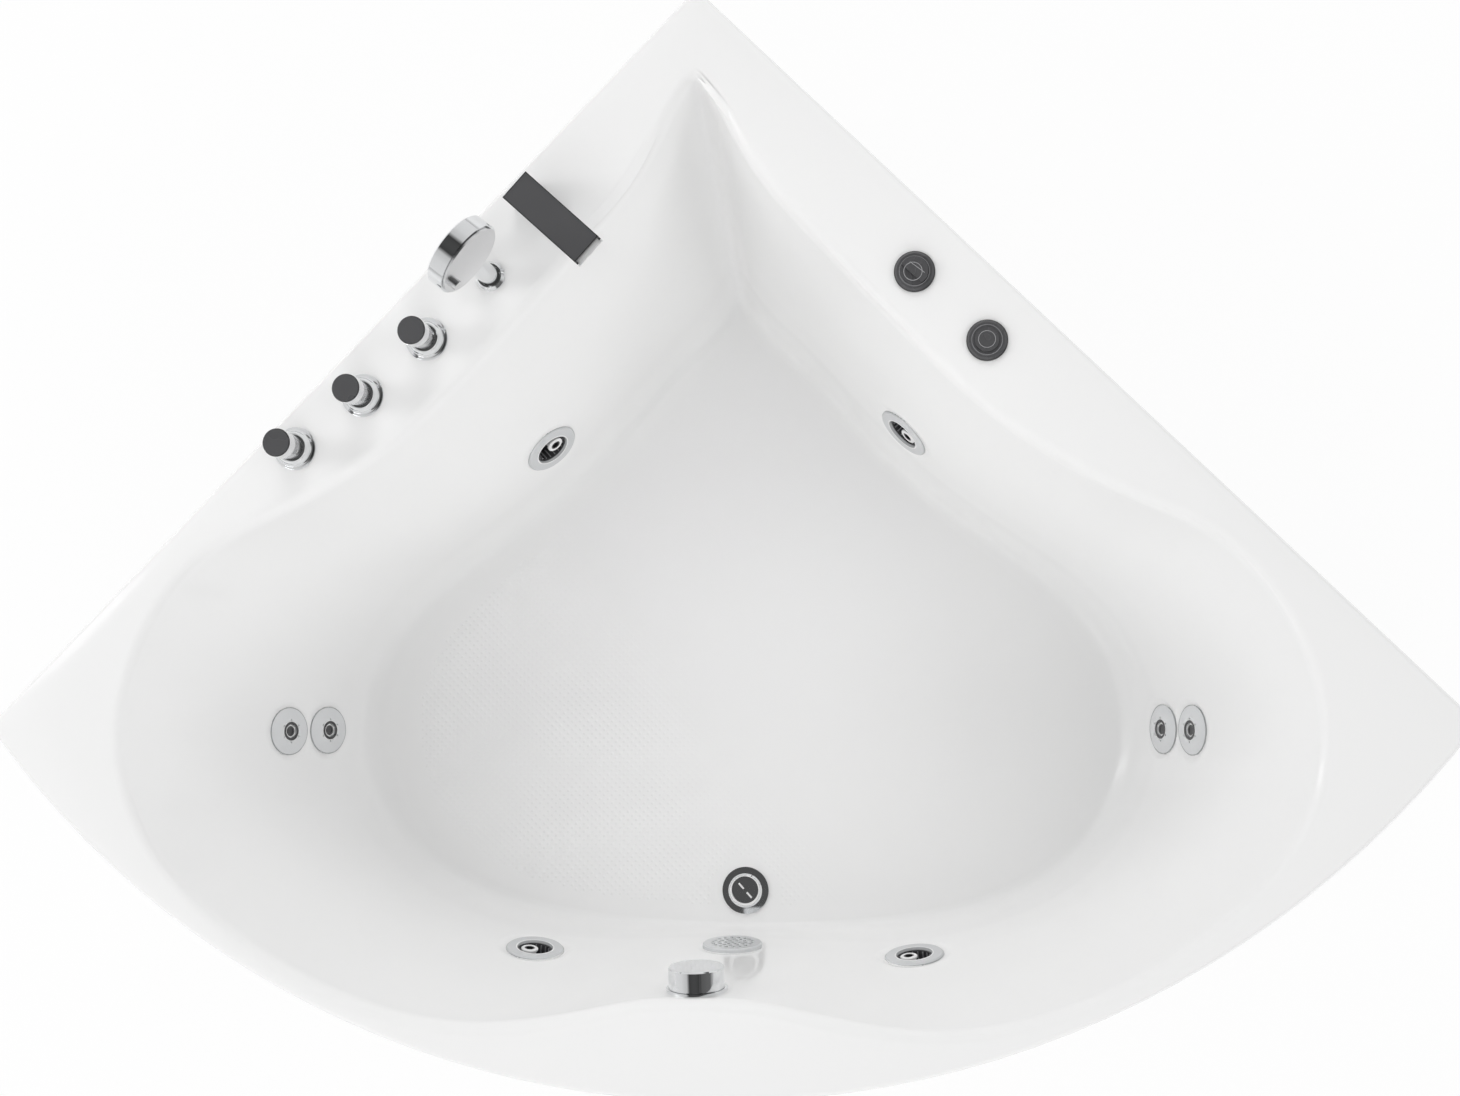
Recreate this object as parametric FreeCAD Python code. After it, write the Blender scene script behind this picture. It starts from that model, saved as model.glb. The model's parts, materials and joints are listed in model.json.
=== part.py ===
import FreeCAD, Part
import math
import os

from FreeCAD import Placement, Rotation, Vector

# Corner bathtub with water jets. Millimetres. +Z is up, the floor of the room is Z = 0, the room's corner
# is at +Y and the bowed front at -Y. The origin is under the middle of the footprint.

# ---------------------------------------------------------------- footprint and shell
WALL_LEG = 1400.0  # each straight side, from the room's corner to the tip
FRONT_BOW = 488.0  # how far the front bows out from the line through both tips
CORNER_ROUND = 12.0
TIP_ROUND = 15.0
LIP_DEPTH = 40.0
LIP_EDGE_ROUND = 7.0
SHELL = 6.0

# ---------------------------------------------------------------- basin
BASIN_DEPTH = 413.0
CORNER_DECK = 120.0  # deck from the room's corner to the basin's point
TIP_DECK = 187.0  # deck from each tip to the basin's side, along the line of the tips
FRONT_DECK = 124.0  # deck at the middle of the front, where the overflow stands
BACKREST_RUN = 251.0  # how far each side slopes in on its way down
APEX_RUN = 250.0
FRONT_RUN = 49.0
ROLL = 20.0  # round of the edge from deck to basin
ROLL_ANGLES = (0.0, 35.0, 65.0)
FLOOR_INSET = 12.0  # the crease of the floor lies this far outside its flat
WALL_PROFILE = ((0.77, 0.93), (0.88, 0.985), (1.0, 1.0))  # share of the run, share of the depth
UNDERSIDE_GROW = 10.0
UNDERSIDE_CHORDS = 3  # flat strips between two points of the outline

# Half outlines seen from above, from the point at the corner round to the middle of the front:
# share of the half width, share of the length from front to point.
RIM_SHAPE = (
    (0.0, 1.0), (0.062, 0.945), (0.199, 0.822), (0.386, 0.690), (0.5355, 0.603), (0.697, 0.5405),
    (0.847, 0.4895), (0.953, 0.404), (1.0, 0.291), (0.953, 0.173), (0.797, 0.068), (0.598, -0.002),
    (0.411, -0.029), (0.187, -0.0146), (0.075, -0.0016), (0.0, 0.0),
)
FLOOR_SHAPE = (
    (0.0, 1.0), (0.054, 0.975), (0.154, 0.92), (0.344, 0.795), (0.515, 0.698), (0.687, 0.617),
    (0.832, 0.54), (0.949, 0.449), (1.0, 0.337), (0.958, 0.208), (0.823, 0.099), (0.633, 0.043),
    (0.434, 0.016), (0.199, 0.003), (0.08, 0.0), (0.0, 0.0),
)

# ---------------------------------------------------------------- fits
FIT_GAP = 0.3  # between pieces that only stand beside each other
RUNNING_GAP = 0.05  # radial, between a spindle and its bore
SEAT_SINK = 1.0  # flat seats in the curved wall
SEAT_CLEAR = 50.0  # the room cut free in front of a seat
SIGHT = 450.0  # seats are found by looking at the wall from this far inside the basin
BOSS_BACK = 12.0  # from a seat to the back of the thickened wall
BOSS_FRONT = 4.0
BOSS_MARGIN = 3.0

# ---------------------------------------------------------------- large jets
JET_FLANGE_R = 42.0
JET_FLANGE_THICK = 4.0
JET_NECK_R = 29.0
JET_THROAT_R = 26.0
JET_NECK_LENGTH = 32.0
JET_NUT_R = 40.0
JET_NUT_THICK = 10.0
JET_BODY_R = 34.0
JET_BODY_END = 72.0
JET_BODY_WALL = 4.0
JET_SOCKET_WALL = 2.5
JET_SOCKET_DEPTH = 20.0
NOZZLE_STEM_R = 5.0
NOZZLE_R = 10.0
NOZZLE_BORE_R = 5.5
NOZZLE_OFFSET = 8.0
NOZZLE_ARM = 4.0
NOZZLE_RISE = 1.0
WALL_JET_ALONG = (603.0, 586.0)  # left and right, from the room's corner along the wall
WALL_JET_HEIGHT = 112.0  # above the basin's floor
FRONT_JET_X = (-288.0, 266.0)
FRONT_JET_HEIGHT = 125.0

# ---------------------------------------------------------------- small back jets
BACK_JET_R = 35.0
BACK_JET_RIM = 2.0
BACK_JET_DOME = 6.0
BACK_JET_HUB_R = 10.0
BACK_JET_NECK_R = 18.0
BACK_JET_BODY_R = 22.0
BACK_JET_BODY_END = 60.0
BACK_JET_HOLE_R = 1.6
BACK_JET_HOLE_CIRCLE = 16.0
BACK_JET_HOLES = 6
BACK_JET_HEIGHTS = (76.0, 144.0)
BACK_JET_Y = -262.0
BRIDGE_R = 9.0

# ---------------------------------------------------------------- suction
SUCTION_R = 43.0
SUCTION_NECK_R = 30.0
SUCTION_BODY_R = 34.0
SUCTION_BODY_END = 70.0
SUCTION_HEIGHT = 118.0
SUCTION_X = 3.0
GRILLE_THICK = 5.0
GRILLE_HOLE_R = 3.2
GRILLE_PITCH = 9.5
GRILLE_RINGS = 3

# ---------------------------------------------------------------- waste and overflow
DRAIN_X = 6.0
DRAIN_FROM_FRONT = 232.0
DRAIN_FLANGE_R = 35.0
DRAIN_FLANGE_THICK = 3.0
DRAIN_NECK_R = 27.0
DRAIN_BORE_R = 24.0
DRAIN_NECK_LENGTH = 30.0
PLUG_R = 25.5
PLUG_THICK = 5.0
PLUG_STEM_R = 4.0
PLUG_TRAVEL = 10.0
WASTE_BODY_R = 32.0
WASTE_PIPE_DROP = 40.0  # from the rails down to the outlet's axis
WASTE_PIPE_R = 20.0
WASTE_PIPE_BORE_R = 18.0
WASTE_PIPE_LENGTH = 300.0
WASTE_SPIGOT_LENGTH = 60.0  # the free end that a socket slides over
WASTE_COLLAR_R = 24.0
WASTE_COLLAR_THICK = 8.0
WASTE_TURN = 45.0  # degrees, from square to the front to square to the right wall
WASTE_SOCKET_R = 26.0
OVERFLOW_X = -10.0
OVERFLOW_DROP = 55.0
OVERFLOW_PLATE_R = 41.0
OVERFLOW_PLATE_THICK = 4.0
OVERFLOW_NECK_R = 22.0
OVERFLOW_BODY_R = 26.0
OVERFLOW_BODY_END = 48.0
OVERFLOW_KNOB_R = 37.5
OVERFLOW_KNOB_DEPTH = 32.0
OVERFLOW_KNOB_WALL = 3.0
OVERFLOW_KNOB_HUB_R = 11.0
OVERFLOW_SPINDLE_R = 5.0
OVERFLOW_PIPE_R = 16.0

# ---------------------------------------------------------------- taps on the left deck
VALVE_ALONG = (593.0, 709.0, 826.0)
VALVE_INSET = (70.0, 60.0, 43.0)
VALVE_FLANGE_R = 29.5
VALVE_DOME_R = 21.0
VALVE_DOME_HEIGHT = 18.0
VALVE_FLANGE_THICK = 4.0
VALVE_SPINDLE_R = 4.0
VALVE_SPINDLE_DEPTH = 20.0
HANDLE_R = 19.0
HANDLE_FOOT_R = 16.0
HANDLE_TOP = 70.0
CAP_R = 17.6
CAP_THICK = 3.0
VALVE_BODY_R = 15.0
VALVE_BODY_DEPTH = 72.0
VALVE_NUT_R = 24.0
VALVE_NUT_THICK = 8.0
TAIL_R = 10.5
TAIL_LENGTH = 38.0
TAIL_SHOULDER_R = 13.0
TAIL_SHOULDER = 10.0
TAIL_LEAN = 20.0  # degrees, towards the wall and clear of the rail below
SUPPLY_PIPE_R = 8.0
SUPPLY_DROP = 52.0

SHOWER_ALONG = 471.6
SHOWER_INSET = 74.0
SHOWER_RING_R = 20.0
SHOWER_RING_HEIGHT = 9.0
SHOWER_HANDLE_R = 13.5
SHOWER_HEAD_HEIGHT = 145.0
SHOWER_HANDLE_SOCKET = 34.0
SHOWER_HEAD_R = 52.0
SHOWER_HEAD_THICK = 24.0
SHOWER_FACE_THICK = 3.0
SHOWER_FACE_R = 49.0
SHOWER_PIVOT_R = 6.0
SHOWER_PIVOT_DEPTH = 8.0
SHOWER_TURN = 7.0  # degrees, how far the head looks away from square to the wall
SHOWER_LUG_R = 7.0
SHOWER_LUG_REACH = 35.0
SHOWER_LUG_LENGTH = 8.0

SPOUT_ALONG = 360.6
SPOUT_BACK_INSET = 31.0
SPOUT_LENGTH = 137.0
SPOUT_WIDTH = 46.0
SPOUT_TOP = 64.0
SPOUT_PLATE_THICK = 4.0
SPOUT_PLATE_LENGTH = 133.0
SPOUT_CHANNEL_DEPTH = 9.0
SPOUT_CHANNEL_WALL = 2.5
SPOUT_ARM_THICK = 18.0
SPOUT_BASE_LENGTH = 62.0
SPOUT_TURN = 2.4  # degrees, slewed from square to the wall
SPOUT_SHANK_R = 14.0

# ---------------------------------------------------------------- controls on the right deck
CONTROL_ALONG = (487.0, 619.4)  # air regulator, pump button
CONTROL_INSET = 75.3
CONTROL_R = 27.0
CONTROL_RING_HEIGHT = 7.0
CONTROL_WELL_R = 19.0
CONTROL_WELL_FLOOR = 2.0
CONTROL_SHANK_R = 17.0
CONTROL_SHANK_DEPTH = 48.0
CONTROL_NUT_R = 25.0
REGULATOR_TOP = 12.0
REGULATOR_STEM_R = 4.0
REGULATOR_GRIP = 5.0
BUTTON_R = 16.0
BUTTON_TOP = 9.5
BUTTON_TRAVEL = 4.0
BUTTON_STEM_R = 4.0

# ---------------------------------------------------------------- pump and pipework
PUMP_X = -655.0
PUMP_Y_FRONT = -352.0
PUMP_CLEAR = 3.0  # from the pump's cover down to its base
PUMP_VOLUTE_R = 62.0
PUMP_COVER_RIM = 5.0
PUMP_VOLUTE_LENGTH = 70.0
MOTOR_R = 58.0
MOTOR_LENGTH = 168.0
MOTOR_FINS = 14
MOTOR_FIN_HEIGHT = 5.0
MOTOR_FIN_THICK = 3.0
FAN_COVER_LENGTH = 28.0
PUMP_BASE_WIDTH = 130.0
PUMP_BASE_LENGTH = 220.0
PUMP_BASE_THICK = 8.0
PUMP_PAD_HEIGHT = 12.0
PUMP_PAD_R = 15.0
TERMINAL_BOX = (34.0, 70.0, 60.0)
GLAND_R = 9.0
GLAND_BORE_R = 4.0
GLAND_LENGTH = 18.0
SUCTION_PIPE_R = 22.0
SUCTION_PIPE_CLEAR = 15.0  # from the rails down to the suction pipe
WATER_RING_R = 16.0
WATER_RING_RISE = 19.0  # above the basin's floor
AIR_RING_R = 9.0
AIR_RING_RISE = 163.0
RING_SHOULDER = (560.0, -560.0)  # where the rings turn round the front lobes
RING_SIDE = (-400.0, -105.0)  # the straight run beside the small jets, front and back
RING_APEX = 601.0
SUCTION_BEND = ((-380.0, -600.0), (-655.0, -440.0))
JET_SPIGOT_R = 11.0
AIR_SPIGOT_R = 7.0
PIPE_BEND = 45.0

# ---------------------------------------------------------------- frame, feet and apron
RAIL_LOW = 115.0  # the rails' underside above the floor of the room
BOARD_THICK = 16.0
BOARD_INSET = 26.0
TUBE = 30.0
TUBE_WALL = 2.0
CORNER_POST_Y = 676.0
TIP_POST = (880.0, -219.0)
SHOULDER = (612.0, -519.0)
FRONT_POST = (150.0, -674.0)
CROSS_RAIL_Y = (-19.0, -420.0)
HUB_R = 22.0
FOOT_PAD_R = 28.0
FOOT_PAD_HEIGHT = 12.0
FOOT_ROD_R = 6.0
FOOT_NUT_R = 10.0
FOOT_NUT_THICK = 9.0
APRON_BEHIND_LIP = 2.0
APRON_THICK = 5.0
APRON_TOE = 12.0
APRON_TUCK = 12.0  # how far the top edge reaches up behind the lip
APRON_HEAD = 10.0
APRON_FOOT = 24.0
APRON_SIDE_GAP = 16.0
APRON_BRACKET_X = (-400.0, -100.0, 100.0, 400.0)
APRON_BRACKET = 20.0
APRON_BRACKET_REACH = 90.0
APRON_SCREW_R = 3.0
APRON_SCREW_LENGTH = 24.0
APRON_SCREW_HEAD_R = 7.0
APRON_SCREW_HEAD_THICK = 3.0

# ---------------------------------------------------------------- worked out from the above
HALF_DIAGONAL = math.sqrt(0.5)
HALF_WIDTH = WALL_LEG * HALF_DIAGONAL
MIDDLE = (HALF_WIDTH - CORNER_ROUND * (math.sqrt(2.0) - 1.0) - FRONT_BOW) / 2.0
CORNER_Y = HALF_WIDTH - MIDDLE
FRONT_Y = -FRONT_BOW - MIDDLE
FRONT_RADIUS = (HALF_WIDTH**2 + FRONT_BOW**2) / (2.0 * FRONT_BOW)
FRONT_CENTRE_Y = FRONT_Y + FRONT_RADIUS
RAIL_TOP = RAIL_LOW + TUBE
BOARD_TOP = RAIL_TOP + BOARD_THICK
FLOOR_HEIGHT = BOARD_TOP + SHELL
RIM_HEIGHT = FLOOR_HEIGHT + BASIN_DEPTH
DECK_UNDERSIDE = RIM_HEIGHT - SHELL
WATER_RING_HEIGHT = FLOOR_HEIGHT + WATER_RING_RISE
AIR_RING_HEIGHT = FLOOR_HEIGHT + AIR_RING_RISE
SUCTION_PIPE_HEIGHT = RAIL_LOW - SUCTION_PIPE_CLEAR - SUCTION_PIPE_R
PUMP_AXIS_HEIGHT = PUMP_PAD_HEIGHT + PUMP_BASE_THICK + PUMP_CLEAR + PUMP_COVER_RIM + PUMP_VOLUTE_R
WASTE_AXIS_HEIGHT = RAIL_LOW - WASTE_PIPE_DROP
WASTE_BODY_LOW = WASTE_AXIS_HEIGHT - WASTE_PIPE_R - JET_BODY_WALL
BASIN_HALF = HALF_WIDTH - TIP_DECK
BASIN_APEX_Y = CORNER_Y - CORNER_DECK
BASIN_FRONT_Y = FRONT_Y + FRONT_DECK
UP = Vector(0.0, 0.0, 1.0)
HERE = Vector(0.0, 0.0, 0.0)


# ================================================================ plain shapes
def disc(radius, low, high):
    return Part.makeCylinder(radius, high - low, Vector(0.0, 0.0, low))


def tube(outer, inner, low, high):
    return disc(outer, low, high).cut(disc(inner, low, high))


def block(low, high):
    size = high - low
    return Part.makeBox(size.x, size.y, size.z, low)


def turned(profile):
    """A solid turned about Z from its outline of (radius, height) points."""
    points = [Vector(radius, 0.0, height) for radius, height in profile]
    face = Part.Face(Part.makePolygon(points + points[:1]))
    return face.revolve(HERE, UP, 360.0)


def prism(sides, radius, low, high):
    """A regular prism whose corners lie on the radius."""
    turn = 2.0 * math.pi / sides
    points = [Vector(radius * math.cos(k * turn), radius * math.sin(k * turn), low) for k in range(sides)]
    return Part.Face(Part.makePolygon(points + points[:1])).extrude(UP * (high - low))


def between(start, end, radius):
    return Part.makeCylinder(radius, (end - start).Length, start, end - start)


def fused(shapes):
    return shapes[0].multiFuse(shapes[1:]).removeSplitter() if len(shapes) > 1 else shapes[0]


def group(shapes):
    return Part.makeCompound(shapes)


def stand(shape, seat):
    """A shape drawn on Z = 0, moved so that it stands on a seat."""
    point, normal, side = seat
    up = normal.cross(side)
    turn = Rotation(side, up, normal, "ZXY")
    stood = shape.copy()
    stood.Placement = Placement(point, turn).multiply(shape.Placement)
    return stood


def seat_point(seat, height):
    return seat[0] + seat[1] * height


def pipe(points, radius, bend):
    """A round bar along straight runs joined by tangent arcs."""
    edges = []
    start = points[0]
    for before, corner, after in zip(points, points[1:], points[2:]):
        back = (before - corner).normalize()
        ahead = (after - corner).normalize()
        half = back.getAngle(ahead) / 2.0
        reach = bend / math.tan(half)
        inner = (back + ahead).normalize()
        first = corner + back * reach
        last = corner + ahead * reach
        middle = corner + inner * (bend / math.sin(half) - bend)
        edges.append(Part.makeLine(start, first))
        edges.append(Part.Arc(first, middle, last).toShape())
        start = last
    edges.append(Part.makeLine(start, points[-1]))
    path = Part.Wire(edges)
    ring = Part.Wire([Part.makeCircle(radius, points[0], points[1] - points[0])])
    return path.makePipeShell([ring], True, False)


# ================================================================ footprint
def footprint(inset, low, high):
    """The tub's plan, drawn in all round by the inset, as a plate with round corners."""
    corner = Vector(0.0, CORNER_Y - inset * math.sqrt(2.0), low)
    radius = FRONT_RADIUS - inset
    rise = corner.y - FRONT_CENTRE_Y
    across = (rise + math.sqrt(2.0 * radius**2 - rise**2)) / 2.0
    right = Vector(across, corner.y - across, low)
    left = Vector(-across, corner.y - across, low)
    front = Vector(0.0, FRONT_CENTRE_Y - radius, low)
    edges = [Part.makeLine(left, corner), Part.makeLine(corner, right), Part.Arc(right, front, left).toShape()]
    plate = Part.Face(Part.Wire(edges)).extrude(UP * (high - low))
    corner_round = max(CORNER_ROUND - inset, 1.0)
    tip_round = max(TIP_ROUND - inset, 1.0)
    upright = [edge for edge in plate.Edges if edge.BoundBox.ZLength > (high - low) / 2.0]
    plate = plate.makeFillet(corner_round, [edge for edge in upright if abs(edge.BoundBox.XMin) < TUBE])
    upright = [edge for edge in plate.Edges if edge.BoundBox.ZLength > (high - low) / 2.0]
    return plate.makeFillet(tip_round, [edge for edge in upright if abs(edge.BoundBox.XMin) > HALF_WIDTH / 2.0])


def front_point(x, inset, height):
    """A point on the bowed front, or inside it by the inset."""
    radius = FRONT_RADIUS - inset
    return Vector(x, FRONT_CENTRE_Y - math.sqrt(radius**2 - x**2), height)


def deck_seat(side, along, inset, turn=0.0):
    """A seat on the deck beside the left (-1) or right (+1) wall, looking into the basin."""
    wall = Vector(side * HALF_DIAGONAL, -HALF_DIAGONAL, 0.0)
    inward = Vector(-side * HALF_DIAGONAL, -HALF_DIAGONAL, 0.0)
    point = Vector(0.0, CORNER_Y, RIM_HEIGHT) + wall * along + inward * inset
    facing = Rotation(UP, turn).multVec(inward)
    return point, UP, facing


# ================================================================ basin
def half_to_closed(shape, half, front, apex):
    right = [Vector(share * half, front + rise * (apex - front), 0.0) for share, rise in shape]
    left = [Vector(-point.x, point.y, 0.0) for point in right[-2:0:-1]]
    return right + left


def grown(points, distance):
    """The outline pushed out square to itself."""
    moved = []
    for before, point, after in zip(points[-1:] + points[:-1], points, points[1:] + points[:1]):
        along = (after - before).normalize()
        moved.append(point + Vector(-along.y, along.x, 0.0) * distance)
    return moved


def rim_outline(distance):
    return grown(half_to_closed(RIM_SHAPE, BASIN_HALF, BASIN_FRONT_Y, BASIN_APEX_Y), distance - ROLL / 2.0)


def floor_outline(distance):
    half = BASIN_HALF - BACKREST_RUN
    apex = BASIN_APEX_Y - APEX_RUN
    return grown(half_to_closed(FLOOR_SHAPE, half, BASIN_FRONT_Y + FRONT_RUN, apex), distance - FLOOR_INSET)


def smooth_ring(points, height):
    lifted = [Vector(point.x, point.y, height) for point in points]
    steps = [0.0]
    for point, after in zip(points, points[1:] + points[:1]):
        steps.append(steps[-1] + (after - point).Length)
    curve = Part.BSplineCurve()
    curve.interpolate(Points=lifted, PeriodicFlag=True, Parameters=steps)
    return Part.Wire([curve.toShape()])


def chord_ring(points, height):
    """The same ring in flat strips, with its corners on the curve."""
    curve = smooth_ring(points, height).Edges[0].Curve
    knots = curve.getKnots()
    corners = []
    for knot, after in zip(knots, knots[1:]):
        step = (after - knot) / UNDERSIDE_CHORDS
        corners += [curve.value(knot + k * step) for k in range(UNDERSIDE_CHORDS)]
    return Part.makePolygon(corners + corners[:1])


def wall_points(run, growth):
    rim = rim_outline(growth)
    floor = floor_outline(growth)
    return [top + (low - top) * run for top, low in zip(rim, floor)]


def basin_hollow():
    """The water's side of the basin, as the solid that fills it to the deck."""
    rings = []
    for angle in ROLL_ANGLES:
        turn = math.radians(angle)
        flare = ROLL * (1.0 - math.sin(turn))
        rings.append(smooth_ring(rim_outline(flare), RIM_HEIGHT - ROLL * (1.0 - math.cos(turn))))
    top = RIM_HEIGHT - ROLL * (1.0 - math.cos(math.radians(ROLL_ANGLES[-1])))
    for run, share in WALL_PROFILE:
        rings.append(smooth_ring(wall_points(run, 0.0), top - share * (top - FLOOR_HEIGHT)))
    return Part.makeLoft(rings, True, True)


def basin_outside():
    """The back of the basin, under the deck."""
    rings = [chord_ring(rim_outline(ROLL / 2.0 + UNDERSIDE_GROW), DECK_UNDERSIDE + SHELL / 2.0)]
    rings.append(chord_ring(rim_outline(UNDERSIDE_GROW), DECK_UNDERSIDE - ROLL))
    top = DECK_UNDERSIDE - ROLL
    for run, share in WALL_PROFILE[:1] + WALL_PROFILE[-1:]:
        rings.append(chord_ring(wall_points(run, UNDERSIDE_GROW), top - share * (top - BOARD_TOP)))
    return Part.makeLoft(rings, True, True)


HOLLOW = basin_hollow()


def hit(start, direction):
    """Where a ray from inside the basin meets its wall."""
    ray = Part.makeLine(start, start + direction * WALL_LEG)
    ends = [vertex.Point for vertex in HOLLOW.common(ray).Vertexes]
    return max(ends, key=lambda point: (point - start).Length)


def wall_seat(start, outward, spread):
    """A flat seat in the wall: its centre, the way it faces, and the level line across it."""
    level = UP.cross(outward)
    centre = hit(start, outward)
    across = hit(start + level * spread, outward) - hit(start - level * spread, outward)
    upward = hit(start + UP * spread, outward) - hit(start - UP * spread, outward)
    normal = across.cross(upward).normalize()
    if normal.dot(outward) > 0.0:
        normal = normal * -1.0
    side = UP.cross(normal).normalize()
    return centre - normal * SEAT_SINK, normal, side


def leg_seat(side, along, height, spread):
    point, up, inward = deck_seat(side, along, SIGHT)
    return wall_seat(Vector(point.x, point.y, FLOOR_HEIGHT + height), inward * -1.0, spread)


def front_seat(x, height, spread):
    start = Vector(x, BASIN_FRONT_Y + SIGHT, height)
    return wall_seat(start, Vector(0.0, -1.0, 0.0), spread)


def back_seat(side, height, spread):
    start = Vector(0.0, BACK_JET_Y, FLOOR_HEIGHT + height)
    return wall_seat(start, Vector(side, 0.0, 0.0), spread)


LARGE_JETS = [
    leg_seat(-1.0, WALL_JET_ALONG[0], WALL_JET_HEIGHT, JET_NECK_R),
    leg_seat(1.0, WALL_JET_ALONG[1], WALL_JET_HEIGHT, JET_NECK_R),
    front_seat(FRONT_JET_X[0], FLOOR_HEIGHT + FRONT_JET_HEIGHT, JET_NECK_R),
    front_seat(FRONT_JET_X[1], FLOOR_HEIGHT + FRONT_JET_HEIGHT, JET_NECK_R),
]
LARGE_JET_NAMES = ("left_wall", "right_wall", "left_front", "right_front")
BACK_JETS = [back_seat(side, height, BACK_JET_NECK_R) for side in (-1.0, 1.0) for height in BACK_JET_HEIGHTS]
SUCTION_SEAT = front_seat(SUCTION_X, FLOOR_HEIGHT + SUCTION_HEIGHT, SUCTION_NECK_R)
OVERFLOW_SEAT = front_seat(OVERFLOW_X, RIM_HEIGHT - OVERFLOW_DROP, OVERFLOW_NECK_R)
OUTLET_WAY = Rotation(UP, WASTE_TURN).multVec(Vector(1.0, 0.0, 0.0))
DRAIN_SEAT = (Vector(DRAIN_X, FRONT_Y + DRAIN_FROM_FRONT, FLOOR_HEIGHT), UP, OUTLET_WAY)
VALVE_SEATS = [deck_seat(-1.0, along, inset) for along, inset in zip(VALVE_ALONG, VALVE_INSET)]
VALVE_NAMES = ("diverter", "cold", "hot")
SHOWER_SEAT = deck_seat(-1.0, SHOWER_ALONG, SHOWER_INSET, SHOWER_TURN)
SPOUT_SEAT = deck_seat(-1.0, SPOUT_ALONG, SPOUT_BACK_INSET, SPOUT_TURN)
REGULATOR_SEAT = deck_seat(1.0, CONTROL_ALONG[0], CONTROL_INSET)
BUTTON_SEAT = deck_seat(1.0, CONTROL_ALONG[1], CONTROL_INSET)
SPOUT_SHANK_SEAT = deck_seat(-1.0, SPOUT_ALONG, SPOUT_BACK_INSET + SPOUT_BASE_LENGTH / 2.0)


# ================================================================ tub shell
def wall_holes():
    """Seat, flange radius and hole radius of every fitting that goes through the basin's wall."""
    holes = [(seat, JET_FLANGE_R, JET_NECK_R) for seat in LARGE_JETS]
    holes += [(seat, BACK_JET_R, BACK_JET_NECK_R) for seat in BACK_JETS]
    holes.append((SUCTION_SEAT, SUCTION_R, SUCTION_NECK_R))
    holes.append((OVERFLOW_SEAT, OVERFLOW_PLATE_R, OVERFLOW_NECK_R))
    holes.append((DRAIN_SEAT, DRAIN_FLANGE_R, DRAIN_NECK_R))
    return holes


def deck_holes():
    holes = [(seat, VALVE_BODY_R) for seat in VALVE_SEATS]
    holes.append((SHOWER_SEAT, SHOWER_HANDLE_R + 2.0 * FIT_GAP + SHELL / 2.0))
    holes.append((SPOUT_SHANK_SEAT, SPOUT_SHANK_R))
    holes += [(REGULATOR_SEAT, CONTROL_SHANK_R), (BUTTON_SEAT, CONTROL_SHANK_R)]
    return holes


def tub_shell():
    deck = footprint(0.0, RIM_HEIGHT - LIP_DEPTH, RIM_HEIGHT)
    top_edges = [edge for edge in deck.Edges if edge.BoundBox.ZMin > RIM_HEIGHT - FIT_GAP]
    deck = deck.makeFillet(LIP_EDGE_ROUND, top_edges)
    deck = deck.cut(footprint(SHELL, RIM_HEIGHT - LIP_DEPTH, DECK_UNDERSIDE))
    bosses = [
        stand(disc(flange + BOSS_MARGIN, -BOSS_BACK, -BOSS_FRONT), seat) for seat, flange, hole in wall_holes()
    ]
    shell = deck.multiFuse([basin_outside()] + bosses).cut(HOLLOW)
    cuts = []
    for seat, flange, hole in wall_holes():
        cuts.append(stand(disc(flange + FIT_GAP, 0.0, SEAT_CLEAR), seat))
        cuts.append(stand(disc(hole + FIT_GAP, -2.0 * BOSS_BACK, BOSS_BACK), seat))
    for seat, hole in deck_holes():
        cuts.append(stand(disc(hole + FIT_GAP, -2.0 * SHELL, SHELL), seat))
    return shell.cut(cuts)


# ================================================================ fittings in the wall
def jet_flange():
    face = tube(JET_FLANGE_R, JET_THROAT_R, 0.0, JET_FLANGE_THICK)
    edge = [e for e in face.Edges if e.BoundBox.ZMin > JET_FLANGE_THICK / 2.0 and e.BoundBox.XMax > JET_NECK_R]
    face = face.makeChamfer(JET_FLANGE_THICK / 2.0, edge)
    return face.fuse(tube(JET_NECK_R, JET_THROAT_R, -JET_NECK_LENGTH, 0.0)).removeSplitter()


def jet_socket():
    """The dark recessed cup that the nozzle turns in."""
    outer = JET_THROAT_R - FIT_GAP
    low = -JET_SOCKET_DEPTH - JET_SOCKET_WALL
    cup = disc(outer, low, 0.0).cut(disc(outer - JET_SOCKET_WALL, -JET_SOCKET_DEPTH, 0.0))
    return cup.cut(disc(NOZZLE_STEM_R + RUNNING_GAP, low, 0.0))


def jet_nozzle():
    """A stem on the jet's axis with an arm that carries the outlet off to one side."""
    floor = -JET_SOCKET_DEPTH + FIT_GAP
    stem = disc(NOZZLE_STEM_R, floor - JET_SOCKET_WALL, floor + NOZZLE_ARM)
    low = Vector(-NOZZLE_STEM_R, -NOZZLE_STEM_R, floor)
    high = Vector(NOZZLE_OFFSET, NOZZLE_STEM_R, floor + NOZZLE_ARM)
    outlet = disc(NOZZLE_R, floor, NOZZLE_RISE)
    outlet = outlet.cut(disc(NOZZLE_BORE_R, floor + NOZZLE_ARM, NOZZLE_RISE))
    outlet.translate(Vector(NOZZLE_OFFSET, 0.0, 0.0))
    return fused([stem, block(low, high), outlet])


def wall_nut(bore):
    low = -BOSS_BACK - JET_NUT_THICK
    return prism(6, JET_NUT_R, low, -BOSS_BACK).cut(disc(bore + FIT_GAP, low, -BOSS_BACK))


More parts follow.
